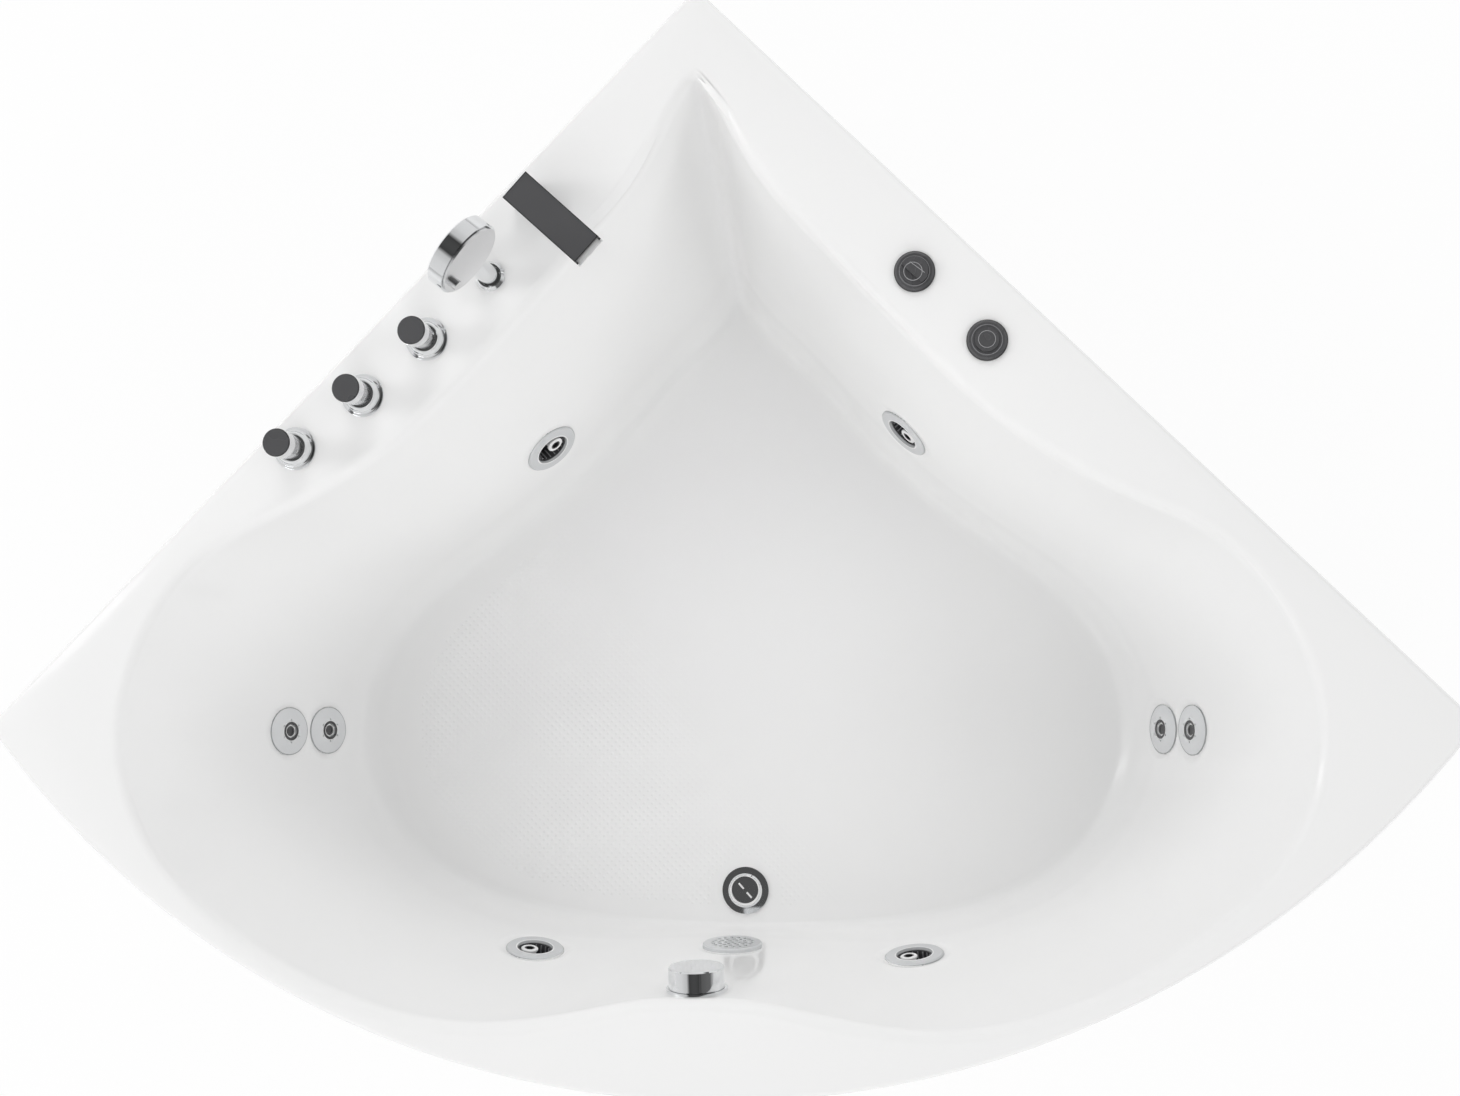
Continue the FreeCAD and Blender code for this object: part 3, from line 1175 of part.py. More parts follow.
def posts():
    """Uprights from the frame's corners to the underside of the deck."""
    outer = Vector(TUBE / 2.0, TUBE / 2.0, 0.0)
    inner = outer - Vector(TUBE_WALL, TUBE_WALL, 0.0)
    uprights = []
    for corner in [frame_corners()[k] for k in (0, 1, 3, 4, 6)]:
        low = level(corner, RAIL_TOP)
        high = level(corner, DECK_UNDERSIDE)
        uprights.append(block(low - outer, high + outer).cut(block(low - inner, high + inner)))
    return uprights


def foot_places():
    return frame_corners()


def foot_pads():
    pad = turned(((0.0, 0.0), (FOOT_PAD_R, 0.0), (FOOT_PAD_R, FOOT_PAD_HEIGHT / 3.0),
                  (2.0 * FOOT_ROD_R, FOOT_PAD_HEIGHT), (0.0, FOOT_PAD_HEIGHT)))
    return [placed(pad, level(point, 0.0)) for point in foot_places()]


def placed(shape, point):
    copy = shape.copy()
    copy.translate(point)
    return copy


def foot_rods():
    return [placed(disc(FOOT_ROD_R, FOOT_PAD_HEIGHT, RAIL_LOW), level(point, 0.0)) for point in foot_places()]


def foot_nuts():
    nut = prism(6, FOOT_NUT_R, RAIL_LOW - FOOT_NUT_THICK, RAIL_LOW).cut(disc(FOOT_ROD_R, 0.0, RAIL_LOW))
    low_nut = placed(nut, UP * (FOOT_PAD_HEIGHT + FOOT_NUT_THICK - RAIL_LOW))
    return [placed(piece, level(point, 0.0)) for point in foot_places() for piece in (nut, low_nut)]


# ================================================================ apron
def apron_band(outer_inset, thick, low, high):
    """A strip that follows the bowed front, cut off short of the side walls."""
    outer = Part.makeCylinder(FRONT_RADIUS - outer_inset, high - low, Vector(0.0, FRONT_CENTRE_Y, low))
    inner = Part.makeCylinder(FRONT_RADIUS - outer_inset - thick, high - low, Vector(0.0, FRONT_CENTRE_Y, low))
    front = block(Vector(-HALF_WIDTH, FRONT_Y, low), Vector(HALF_WIDTH, CORNER_Y - WALL_LEG / 2.0, high))
    return outer.cut(inner).common(between_walls(low, high)).common(front)


def between_walls(low, high):
    """The room between both side walls, without the bow's own limit."""
    reach = FRONT_BOW
    corner = Vector(0.0, CORNER_Y - APRON_SIDE_GAP * math.sqrt(2.0), low)
    right = corner + Vector(HALF_WIDTH + reach, -HALF_WIDTH - reach, 0.0)
    left = corner + Vector(-HALF_WIDTH - reach, -HALF_WIDTH - reach, 0.0)
    return Part.Face(Part.makePolygon([corner, right, left, corner])).extrude(UP * (high - low))


def apron():
    """The removable front panel with a return along its top and its foot."""
    inset = SHELL + APRON_BEHIND_LIP
    top = RIM_HEIGHT - LIP_DEPTH + APRON_TUCK
    skin = apron_band(inset, APRON_THICK, APRON_TOE, top)
    head = apron_band(inset, APRON_HEAD, top - APRON_THICK, top)
    foot = apron_band(inset, APRON_FOOT, APRON_TOE, APRON_TOE + APRON_THICK)
    return fused([skin, head, foot]).cut([screw_hole(x) for x in APRON_BRACKET_X])


def screw_axis(x):
    """From the apron's face straight in towards the middle of the bow."""
    height = RAIL_LOW + TUBE / 2.0
    face = front_point(x, SHELL + APRON_BEHIND_LIP, height)
    inward = (Vector(0.0, FRONT_CENTRE_Y, height) - face).normalize()
    return face, inward


def screw(x):
    face, inward = screw_axis(x)
    shank = between(face, face + inward * APRON_SCREW_LENGTH, APRON_SCREW_R)
    head = between(face - inward * APRON_SCREW_HEAD_THICK, face, APRON_SCREW_HEAD_R)
    return shank.fuse(head).removeSplitter()


def screw_hole(x):
    face, inward = screw_axis(x)
    return between(face, face + inward * (APRON_SCREW_LENGTH + FIT_GAP), APRON_SCREW_R + RUNNING_GAP)


def apron_bracket(x, rails):
    """A bar from the frame's front rails to the back of the apron, drilled for its screw."""
    face, inward = screw_axis(x)
    drop = UP * (-APRON_BRACKET / 2.0)
    start = face + inward * (APRON_THICK + FIT_GAP) + drop
    bar = square_bar(start, start + inward * APRON_BRACKET_REACH, APRON_BRACKET)
    pieces = bar.cut(rails + [screw_hole(x)]).Solids
    return min(pieces, key=lambda piece: piece.CenterOfMass.y)


# ================================================================ files
def write(name, shape):
    shape.exportStep("parts/" + name + ".step")


def write_jets():
    write("jet_flanges", group([stand(jet_flange(), seat) for seat in LARGE_JETS]))
    write("jet_sockets", group([stand(jet_socket(), seat) for seat in LARGE_JETS]))
    nuts = [stand(wall_nut(JET_NECK_R), seat) for seat in LARGE_JETS]
    write("wall_nuts", group(nuts + [stand(wall_nut(SUCTION_NECK_R), SUCTION_SEAT)]))
    for name, seat in zip(LARGE_JET_NAMES, LARGE_JETS):
        write("nozzle_" + name, stand(jet_nozzle(), seat))
    write("back_jet_flanges", group([stand(back_jet_flange(), seat) for seat in BACK_JETS]))
    write("back_jet_inserts", group([stand(back_jet_insert(), seat) for seat in BACK_JETS]))
    write("suction_flange", stand(suction_flange(), SUCTION_SEAT))
    write("suction_grille", stand(suction_grille(), SUCTION_SEAT))


def write_waste():
    write("waste_flange", stand(waste_flange(), DRAIN_SEAT))
    write("waste_plug", stand(plug(), DRAIN_SEAT))
    write("waste_body", stand(waste_body(), DRAIN_SEAT))
    write("waste_pipe", stand(waste_pipe(), DRAIN_SEAT))
    write("overflow_plate", stand(overflow_plate(), OVERFLOW_SEAT))
    write("overflow_knob", stand(overflow_knob(), OVERFLOW_SEAT))
    write("overflow_body", overflow_body())
    write("overflow_pipe", overflow_pipe())


def write_taps():
    write("valve_escutcheons", group([stand(valve_escutcheon(), seat) for seat in VALVE_SEATS]))
    tails = ([], valve_tail(), valve_tail())
    write("valve_bodies", group([stand(valve_body(tail), seat) for tail, seat in zip(tails, VALVE_SEATS)]))
    for name, seat in zip(VALVE_NAMES, VALVE_SEATS):
        write("handle_" + name, stand(valve_handle(), seat))
        write("handle_cap_" + name, stand(handle_cap(), seat))
    write("shower_holder", stand(shower_holder(), SHOWER_SEAT))
    write("hand_shower", stand(hand_shower(), SHOWER_SEAT))
    write("shower_face", stand(shower_face(), SHOWER_SEAT))
    write("spout_body", stand(spout_body(), SPOUT_SEAT))
    write("spout_plate", stand(spout_plate(), SPOUT_SEAT))
    write("spout_shank", stand(spout_shank(), SPOUT_SHANK_SEAT))
    write("supply_pipes", group(supply_pipes()))


def write_controls():
    housings = [stand(regulator_housing(), REGULATOR_SEAT), stand(button_housing(), BUTTON_SEAT)]
    write("control_housings", group(housings))
    write("regulator_knob", stand(regulator_knob(), REGULATOR_SEAT))
    write("button_cap", stand(button_cap(), BUTTON_SEAT))


def write_pump():
    wet_end = pump_wet_end()
    large = [jet_body_with_spigots(seat) for seat in LARGE_JETS]
    small = [back_jet_pair(BACK_JETS[0], BACK_JETS[1]), back_jet_pair(BACK_JETS[2], BACK_JETS[3])]
    air = air_ring(large + small)
    write("jet_bodies", group(large))
    write("suction_body", suction_body())
    write("back_jet_bodies", group(small))
    write("pump_wet_end", wet_end)
    write("pump_motor", pump_motor())
    write("terminal_box", terminal_box())
    write("pump_base", pump_base())
    write("pump_pads", group(pump_pads()))
    write("suction_pipe", suction_pipe())
    write("water_ring", water_ring(large + small, wet_end))
    write("air_ring", group([air, air_intake(air)]))


def write_frame():
    rails, hubs = perimeter_rails()
    write("frame_perimeter", group(rails))
    write("frame_hubs", group(hubs))
    write("frame_cross_rails", group(cross_rails(rails)))
    write("frame_posts", group(posts()))
    write("base_board", base_board())
    write("foot_pads", group(foot_pads()))
    write("foot_rods", group(foot_rods()))
    write("foot_nuts", group(foot_nuts()))
    write("apron", apron())
    write("apron_brackets", group([apron_bracket(x, rails) for x in APRON_BRACKET_X]))
    write("apron_screws", group([screw(x) for x in APRON_BRACKET_X]))


os.makedirs("parts", exist_ok=True)
write("tub_shell", tub_shell())
write_jets()
write_waste()
write_taps()
write_controls()
write_pump()
write_frame()
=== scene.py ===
import json
import math

import bmesh
import bpy
import numpy as np
from mathutils import Matrix, Vector
from mathutils.kdtree import KDTree


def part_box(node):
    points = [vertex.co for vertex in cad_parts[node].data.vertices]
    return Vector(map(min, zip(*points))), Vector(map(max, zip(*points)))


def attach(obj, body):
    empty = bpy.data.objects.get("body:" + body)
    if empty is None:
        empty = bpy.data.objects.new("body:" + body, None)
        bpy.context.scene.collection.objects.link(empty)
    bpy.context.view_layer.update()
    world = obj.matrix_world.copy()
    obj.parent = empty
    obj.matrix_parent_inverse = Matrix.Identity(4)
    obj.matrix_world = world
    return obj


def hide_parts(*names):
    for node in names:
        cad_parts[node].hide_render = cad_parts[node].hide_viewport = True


# Corner bathtub with water jets. Metres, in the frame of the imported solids: +Z up, +Y to the room's corner.

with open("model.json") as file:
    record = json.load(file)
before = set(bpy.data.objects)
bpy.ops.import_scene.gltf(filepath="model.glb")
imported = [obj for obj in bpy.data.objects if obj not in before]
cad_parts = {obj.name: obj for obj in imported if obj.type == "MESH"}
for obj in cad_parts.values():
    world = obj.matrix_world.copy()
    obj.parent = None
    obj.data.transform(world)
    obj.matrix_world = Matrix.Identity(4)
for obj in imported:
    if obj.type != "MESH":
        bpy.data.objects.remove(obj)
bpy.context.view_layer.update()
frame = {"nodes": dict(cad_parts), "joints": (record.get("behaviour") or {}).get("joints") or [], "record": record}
nodes = frame["nodes"]

# ---------------------------------------------------------------- sizes of the tub, as in the solids
LOW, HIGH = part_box("tub_shell")
RIM = HIGH.z
WALL_LEG = 1.400
BOW = 0.488  # how far the front stands out from the line of the tips
HALF_WIDTH = WALL_LEG * math.sqrt(0.5)
FRONT_Y = LOW.y
FRONT_RADIUS = (HALF_WIDTH**2 + BOW**2) / (2.0 * BOW)
CORNER_Y = FRONT_Y + BOW + HALF_WIDTH
ROLL = 0.020
BASIN_DEPTH = 0.413
FLOOR = RIM - BASIN_DEPTH
TIP_DECK, FRONT_DECK, CORNER_DECK = 0.187, 0.124, 0.120
TIP_WALL, FRONT_WALL, CORNER_WALL = 0.251, 0.049, 0.250
BASIN_HALF = HALF_WIDTH - TIP_DECK
BASIN_FRONT_Y = FRONT_Y + FRONT_DECK
BASIN_APEX_Y = CORNER_Y - CORNER_DECK
FLOOR_HALF = BASIN_HALF - TIP_WALL
FLOOR_FRONT_Y = BASIN_FRONT_Y + FRONT_WALL
FLOOR_APEX_Y = BASIN_APEX_Y - CORNER_WALL
FLOOR_INSET = 0.012
MIDDLE_Y = -0.25  # about the middle of the basin
# share of the half width, share of the way from the front to the corner
RIM_SHAPE = (
    (0.0, 1.0), (0.062, 0.945), (0.199, 0.822), (0.386, 0.690), (0.5355, 0.603), (0.697, 0.5405),
    (0.847, 0.4895), (0.953, 0.404), (1.0, 0.291), (0.953, 0.173), (0.797, 0.068), (0.598, -0.002),
    (0.411, -0.029), (0.187, -0.0146), (0.075, -0.0016), (0.0, 0.0),
)
FLOOR_SHAPE = (
    (0.0, 1.0), (0.054, 0.975), (0.154, 0.92), (0.344, 0.795), (0.515, 0.698), (0.687, 0.617),
    (0.832, 0.54), (0.949, 0.449), (1.0, 0.337), (0.958, 0.208), (0.823, 0.099), (0.633, 0.043),
    (0.434, 0.016), (0.199, 0.003), (0.08, 0.0), (0.0, 0.0),
)
ROLL_END = 65.0  # degrees turned where the roll meets the wall
WALL_CURVE = (
    (0.0, 0.0), (0.36, 0.315), (0.68, 0.572), (0.83, 0.694), (0.93, 0.785), (0.985, 0.885), (1.0, 1.0),
)
FLOOR_SLOPE = 1.6  # how much steeper the wall's run ends than its last span
AROUND = 24  # points in each span of an outline
ROLL_ROWS = 9
WALL_ROWS = 84
ROW_CROWDING = 1.35  # draws the wall's rows together towards the floor
FLOOR_ROWS = (0.93, 0.85, 0.7, 0.5, 0.3, 0.1)
LEVEL = 1e-4  # heights closer than this are the same
WELD = 1e-6  # points closer than this become one
SKIN_REACH = 0.012  # old basin faces lie closer than this to the new wall
SIGHT_DROP = 0.13  # from the rim down to the point that those faces look at
SIGHT_LEAST = 0.12  # least share of their normal that points there
EDGE_BAND = 0.012  # width of the front edge that the deck is joined to
CORNER_BAND = 0.05  # the same along the two walls
HOLDER_HOLE_R = 0.0145  # hole in the deck under the shower's holder

# flange radius and hole radius of what sits in the wall
JET_SEAT = (0.0423, 0.031)
BACK_SEAT = (0.0353, 0.020)
SUCTION_SEAT = (0.0433, 0.032)
OVERFLOW_SEAT = (0.0413, 0.0)
WASTE_SEAT = (0.0353, 0.0285)
SEAT_BLEND = 0.007
SEAT_REACH = 0.02  # the wall belongs to a seat while it is closer than this to the seat's plane
FACE_BAND = 5e-4  # points this close to the highest are on a flange's face
BACK_JET_DOME = 0.006  # height of the face over the seat
SUCTION_RIM = 0.003

# ---------------------------------------------------------------- grip on the floor
GRIP_PITCH = 0.0088
GRIP_RADIUS = 0.0027
GRIP_HEIGHT = 0.0006
GRIP_LIFT = 2e-5  # keeps the dots' foot clear of the floor
GRIP_SIDES = 8
GRIP_STEPS = 80  # dots to each side of the middle of the grid
GRIP_ACROSS = np.array((0.81, 0.58))  # the way over the floor in which the dots die out
GRIP_EDGE = -0.155  # how far along it the last dots stand
GRIP_FADE = 0.16  # how far before their edge the dots start to sink
GRIP_LEAST = 0.08  # share of the height below which a dot is left out
GRIP_FLOOR_SHARE = 0.93  # share of the floor's outline that has dots
GRIP_WASTE_GAP = 0.052  # no dots closer than this to the middle of the waste

# ---------------------------------------------------------------- light
AMBIENT = 0.65
FRONT_POWER = 48.0
BACK_POWER = 50.0
FLOOR_POWER = 0.3
LEFT_POWER = 34.0
RIGHT_POWER = 26.0
STRIP_POWER = 5.0
LOW_STRIP_POWER = 4.0
FLOOR_GLOW = 0.93  # share of plain white in the floor that the camera sees
# what metal sees: grey at each height, and the share of that at each place from the middle to the right
CEILING = ((0.0, 0.80), (0.55, 0.74), (0.80, 0.60), (0.88, 0.05), (1.0, 0.09))
RIGHT_DARK = ((0.0, 1.0), (0.30, 1.0), (0.42, 0.18), (0.90, 0.18), (1.0, 0.9))

# ---------------------------------------------------------------- camera, solved from the photograph
PHOTO = (1460.0, 1096.0)
FOCAL_PIXELS = 2000.1
MIDDLE_PIXEL = (757.2, 547.2)
CAMERA_PLACE = (0.4295, -0.2019, 3.1814)
CAMERA_TILT = (4.02, 7.65, -0.23)  # degrees


# ================================================================ outlines
def closed(shape, half, front, apex):
    right = [(share * half, front + rise * (apex - front)) for share, rise in shape]
    return np.array(right + [(-x, y) for x, y in right[-2:0:-1]])


def grown(points, distance):
    along = np.roll(points, -1, 0) - np.roll(points, 1, 0)
    along /= np.linalg.norm(along, axis=1)[:, None]
    return points + np.column_stack((-along[:, 1], along[:, 0])) * distance


def curve_through(points):
    """The smooth closed curve through the points, with the same number of steps in every span."""
    after = np.roll(points, -1, 0)
    span = np.linalg.norm(after - points, axis=1)
    slope = (after - points) / span[:, None]
    before = np.roll(span, 1)
    count = len(points)
    rows = np.arange(count)
    system = np.zeros((count, count))
    system[rows, rows] = 2.0 * (span + before)
    system[rows, (rows + 1) % count] += span
    system[rows, (rows - 1) % count] += before
    bend = np.linalg.solve(system, 6.0 * (slope - np.roll(slope, 1, 0)))
    b = np.linspace(0.0, 1.0, AROUND, endpoint=False)[None, :, None]
    a = 1.0 - b
    curved = (a**3 - a) * bend[:, None] + (b**3 - b) * np.roll(bend, -1, 0)[:, None]
    line = a * points[:, None] + b * after[:, None] + curved * span[:, None, None] ** 2 / 6.0
    return line.reshape(-1, 2)


def rim_outline(flare):
    return grown(closed(RIM_SHAPE, BASIN_HALF, BASIN_FRONT_Y, BASIN_APEX_Y), flare - ROLL / 2.0)


def floor_outline():
    return grown(closed(FLOOR_SHAPE, FLOOR_HALF, FLOOR_FRONT_Y, FLOOR_APEX_Y), -FLOOR_INSET)


def smooth_run(depth):
    """Share of the wall's run at a share of its depth, smooth and never turning back."""
    x, y = np.array(WALL_CURVE).T
    step = np.diff(x)
    slope = np.diff(y) / step
    tangent = np.zeros(len(x))
    inner = 2.0 / (1.0 / slope[:-1] + 1.0 / slope[1:])
    tangent[1:-1] = inner
    tangent[0], tangent[-1] = slope[0], slope[-1] * FLOOR_SLOPE
    k = int(np.clip(np.searchsorted(x, depth) - 1, 0, len(step) - 1))
    t = (depth - x[k]) / step[k]
    rise = y[k] * (1 + 2 * t) * (1 - t) ** 2 + y[k + 1] * t**2 * (3 - 2 * t)
    return rise + step[k] * (tangent[k] * t * (1 - t) ** 2 - tangent[k + 1] * t**2 * (1 - t))


def basin_rings():
    """Rings from the deck over the rolled edge, down the wall and in over the floor."""
    rings = []
    for turn in np.radians(np.linspace(0.0, ROLL_END, ROLL_ROWS)):
        flare, drop = ROLL * (1.0 - math.sin(turn)), ROLL * (1.0 - math.cos(turn))
        rings.append((curve_through(rim_outline(flare)), RIM - drop))
    top = rings[-1][1]
    rim, low = rim_outline(ROLL * (1.0 - math.sin(math.radians(ROLL_END)))), floor_outline()
    steps = np.linspace(0.0, 1.0, WALL_ROWS + 1)[1:]
    for depth in 1.0 - (1.0 - steps) ** ROW_CROWDING:
        run = smooth_run(depth)
        rings.append((curve_through(rim + (low - rim) * run), top - depth * (top - FLOOR)))
    edge = rings[-1][0]
    middle = edge.mean(0)
    rings += [(middle + (edge - middle) * share, FLOOR) for share in FLOOR_ROWS]
    return [np.column_stack((plan, np.full(len(plan), height))) for plan, height in rings]


# ================================================================ seats
def top_of(node):
    """The middle of a node's top, with the axes of the room."""
    low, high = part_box(node)
    return Matrix.Translation(((low.x + high.x) / 2.0, (low.y + high.y) / 2.0, high.z))


def loose_parts(node):
    """Vertex coordinates of each separate piece in a node."""
    mesh = nodes[node].data
    work = bmesh.new()
    work.from_mesh(mesh)
    bmesh.ops.remove_doubles(work, verts=work.verts, dist=WELD)
    seen, parts = set(), []
    for start in work.verts:
        if start in seen:
            continue
        heap, part = [start], []
        seen.add(start)
        while heap:
            vert = heap.pop()
            part.append(vert.co[:])
            for edge in vert.link_edges:
                other = edge.other_vert(vert)
                if other not in seen:
                    seen.add(other)
                    heap.append(other)
        parts.append(np.array(part))
    work.free()
    return parts


def seat_of(part, face_height):
    """Centre and facing of the seat under a round flange, whose face stands this far above it."""
    offsets = part - part.mean(0)
    _, _, axes = np.linalg.svd(offsets, full_matrices=False)
    middle = np.array((0.0, MIDDLE_Y, RIM))
    best = None
    for axis in axes:
        along = offsets @ axis
        reach = np.linalg.norm(offsets - along[:, None] * axis, axis=1).max()
        if best is None or reach < best[0]:
            best = (reach, axis)
    axis = best[1] if (middle - part.mean(0)) @ best[1] > 0 else -best[1]
    along = part @ axis
    face = part[along > along.max() - FACE_BAND]
    return face.mean(0) - axis * face_height, axis


def seats():
    """Centre, facing, flange radius and hole radius of every seat in the basin."""
    found = []
    for joint in frame["joints"]:
        if joint["name"].startswith("nozzle_turn"):
            found.append((np.array(joint["pos_m"]), np.array(joint["axis"])) + JET_SEAT)
        if joint["name"] == "overflow_turn":
            found.append((np.array(joint["pos_m"]), np.array(joint["axis"])) + OVERFLOW_SEAT)
    for part in loose_parts("back_jet_flanges"):
        found.append(seat_of(part, BACK_JET_DOME) + BACK_SEAT)
    found.append(seat_of(loose_parts("suction_flange")[0], SUCTION_RIM) + SUCTION_SEAT)
    waste = top_of("waste_flange").translation
    found.append((np.array((waste.x, waste.y, FLOOR)), np.array((0.0, 0.0, 1.0))) + WASTE_SEAT)
    return found


def press_seats(points, places):
    """The wall's points moved on to the flat seats, with a soft edge round each."""
    for centre, facing, flange, _ in places:
        away = points - centre
        height = away @ facing
        distance = np.linalg.norm(away - height[:, None] * facing, axis=1)
        share = np.clip((flange + SEAT_BLEND - distance) / SEAT_BLEND, 0.0, 1.0)
        share = share**2 * (3.0 - 2.0 * share) * (np.abs(height) < SEAT_REACH)
        points = points - (height * share)[:, None] * facing
    return points


# ================================================================ tub
def keep_underside(work, inner):
    """Leaves only what the new deck and basin don't stand for: lip, underside, bosses."""
    tree = KDTree(len(inner))
    for index, point in enumerate(inner):
        tree.insert(point, index)
    tree.balance()
    middle = Vector((0.0, MIDDLE_Y, RIM - SIGHT_DROP))
    gone = []
    for face in work.faces:
        centre = face.calc_center_median()
        heights = [v.co.z for v in face.verts]
        on_floor = max(abs(z - FLOOR) for z in heights) < 2.0 * LEVEL and face.normal.z > 0.9
        if min(heights) > RIM - LEVEL or on_floor:
            gone.append(face)
            continue
        towards = (middle - centre).normalized()
        near = tree.find(centre)[2] < SKIN_REACH
        if near and face.normal.dot(towards) > SIGHT_LEAST and centre.z < RIM - LEVEL:
            gone.append(face)
    bmesh.ops.delete(work, geom=gone, context="FACES")


def turns(count):
    return [2.0 * math.pi * k / count for k in range(count)]


def circle(work, centre, radius, count=48):
    spots = [(centre.x + radius * math.cos(t), centre.y + radius * math.sin(t), RIM) for t in turns(count)]
    verts = [work.verts.new(spot) for spot in spots]
    return [work.edges.new((verts[k], verts[(k + 1) % count])) for k in range(count)]


def tub():
    """A smooth tub in place of the faceted shell."""
    places = seats()
    rings = basin_rings()
    count = len(rings[0])
    points = press_seats(np.concatenate(rings), places)
    work = bmesh.new()
    work.from_mesh(nodes["tub_shell"].data)
    bmesh.ops.remove_doubles(work, verts=work.verts, dist=WELD)
    keep_underside(work, points[: count * (ROLL_ROWS + WALL_ROWS)])
    outer = [edge for edge in work.edges if len(edge.link_faces) == 1 and is_outer(edge)]
    verts = [work.verts.new(p) for p in points]
    holes = [(centre, facing, hole) for centre, facing, _, hole in places if hole > 0.0]
    for row in range(len(rings) - 1):
        for k in range(count):
            corners = [row * count + k, row * count + (k + 1) % count]
            corners = corners[::-1] + [corners[0] + count, corners[1] + count]
            middle = sum(points[c] for c in corners) / 4.0
            if any(in_hole(middle, hole) for hole in holes):
                continue
            work.faces.new([verts[c] for c in corners])
    work.faces.new(verts[-count:][::-1])
    inner = [work.edges.get((verts[k], verts[(k + 1) % count])) for k in range(count)]
    opening = circle(work, top_of("shower_holder").translation, HOLDER_HOLE_R)
    edges = outer + inner + opening
    bmesh.ops.triangle_fill(work, edges=edges, use_beauty=True, normal=(0.0, 0.0, 1.0))
    bmesh.ops.remove_doubles(work, verts=work.verts, dist=WELD)
    made = piece("tub", work, "tub", WHITE_ACRYLIC, 35.0)
    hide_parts("tub_shell")


def is_outer(edge):
    """True for the edges of the lip's top, along both walls and the bowed front."""
    spots = [vert.co for vert in edge.verts]
    if min(spot.z for spot in spots) <= RIM - LEVEL:
        return False
    from_bow = (spots[0] + spots[1]).xy / 2.0 - Vector((0.0, FRONT_Y + FRONT_RADIUS))
    by_wall = max(abs(spot.x) + spot.y for spot in spots) > CORNER_Y - CORNER_BAND
    return by_wall or from_bow.length > FRONT_RADIUS - EDGE_BAND


def in_hole(point, hole):
    centre, facing, radius = hole
    away = point - centre
    height = away @ facing
    return abs(height) < SEAT_REACH and away @ away - height * height < radius * radius


# ================================================================ materials
def material(name):
    made = bpy.data.materials.new(name)
    made.use_nodes = True
    tree = made.node_tree
    return made, tree, tree.nodes["Principled BSDF"]


def noise(tree, scale, detail=3.0):
    place = tree.nodes.new("ShaderNodeTexCoord")
    made = tree.nodes.new("ShaderNodeTexNoise")
    made.inputs["Scale"].default_value = scale
    made.inputs["Detail"].default_value = detail
    made.inputs["Roughness"].default_value = 0.55
    tree.links.new(place.outputs["Object"], made.inputs["Vector"])
    return made.outputs["Fac"]


def spread(tree, value, low, high):
    made = tree.nodes.new("ShaderNodeMapRange")
    made.inputs["To Min"].default_value = low
    made.inputs["To Max"].default_value = high
    tree.links.new(value, made.inputs["Value"])
    return made.outputs["Result"]


def tint(tree, value, dark, light):
    made = tree.nodes.new("ShaderNodeMix")
    made.data_type = "RGBA"
    made.inputs["A"].default_value = (*dark, 1.0)
    made.inputs["B"].default_value = (*light, 1.0)
    tree.links.new(value, made.inputs["Factor"])
    return made.outputs["Result"]


def bump(tree, shader, height, strength, distance):
    made = tree.nodes.new("ShaderNodeBump")
    made.inputs["Strength"].default_value = strength
    made.inputs["Distance"].default_value = distance
    tree.links.new(height, made.inputs["Height"])
    tree.links.new(made.outputs["Normal"], shader.inputs["Normal"])
    return made


def plain(name, dark, light, rough, metal=0.0, grain=60.0, relief=0.02, coat=0.0):
    """A surface with a slight cloud in its colour, uneven gloss and a fine grain."""
    made, tree, shader = material(name)
    shader.inputs["Metallic"].default_value = metal
    shader.inputs["Coat Weight"].default_value = coat
    cloud = noise(tree, grain / 8.0)
    fine = noise(tree, grain * 10.0, 2.0)
    tree.links.new(tint(tree, cloud, dark, light), shader.inputs["Base Color"])
    tree.links.new(spread(tree, cloud, rough[0], rough[1]), shader.inputs["Roughness"])
    bump(tree, shader, fine, relief, 0.0005)
    return made


def sanitary_acrylic():
    """Gloss white acrylic with the faint waviness of vacuum forming."""
    made, tree, shader = material("sanitary_acrylic")
    shader.inputs["Coat Weight"].default_value = 0.3
    shader.inputs["Coat Roughness"].default_value = 0.04
    cloud = noise(tree, 3.0)
    colour = tint(tree, cloud, (0.905, 0.905, 0.903), (0.913, 0.913, 0.911))
    tree.links.new(colour, shader.inputs["Base Color"])
    tree.links.new(spread(tree, cloud, 0.10, 0.16), shader.inputs["Roughness"])
    bump(tree, shader, noise(tree, 9.0, 1.0), 0.06, 0.004)
    return made


WHITE_ACRYLIC = sanitary_acrylic()
CHROME = plain("chrome", (0.80, 0.81, 0.82), (0.84, 0.85, 0.86), (0.03, 0.07), metal=1.0, relief=0.004)
SATIN = plain("satin_chrome", (0.74, 0.74, 0.75), (0.80, 0.80, 0.81), (0.16, 0.24), metal=1.0, grain=120.0)
GRAPHITE = plain("graphite", (0.075, 0.075, 0.078), (0.09, 0.09, 0.094), (0.24, 0.32), grain=90.0)
LIGHT_RING = plain("jet_ring_plastic", (0.60, 0.61, 0.62), (0.64, 0.65, 0.66), (0.22, 0.30))
# Dark glossy plastic of the jet cups; the small jets' bores use it too, as painted shade.
DARK_CUP_AND_BORE_SHADE = plain("dark_cup_plastic_and_bore_shade", (0.03, 0.03, 0.032), (0.06, 0.06, 0.064), (0.08, 0.16), coat=0.4)
# White plastic; the painted highlights on the small jets' domes and on the waste plug use it too.
WHITE_PLASTIC_AND_HIGHLIGHTS = plain("white_plastic", (0.82, 0.82, 0.82), (0.86, 0.86, 0.86), (0.20, 0.28))
BACK_JET = plain("pale_jet_plastic", (0.68, 0.69, 0.70), (0.76, 0.77, 0.78), (0.12, 0.2), coat=0.3)
PIPE_WHITE = plain("pipe_white", (0.78, 0.78, 0.76), (0.82, 0.82, 0.80), (0.35, 0.45))
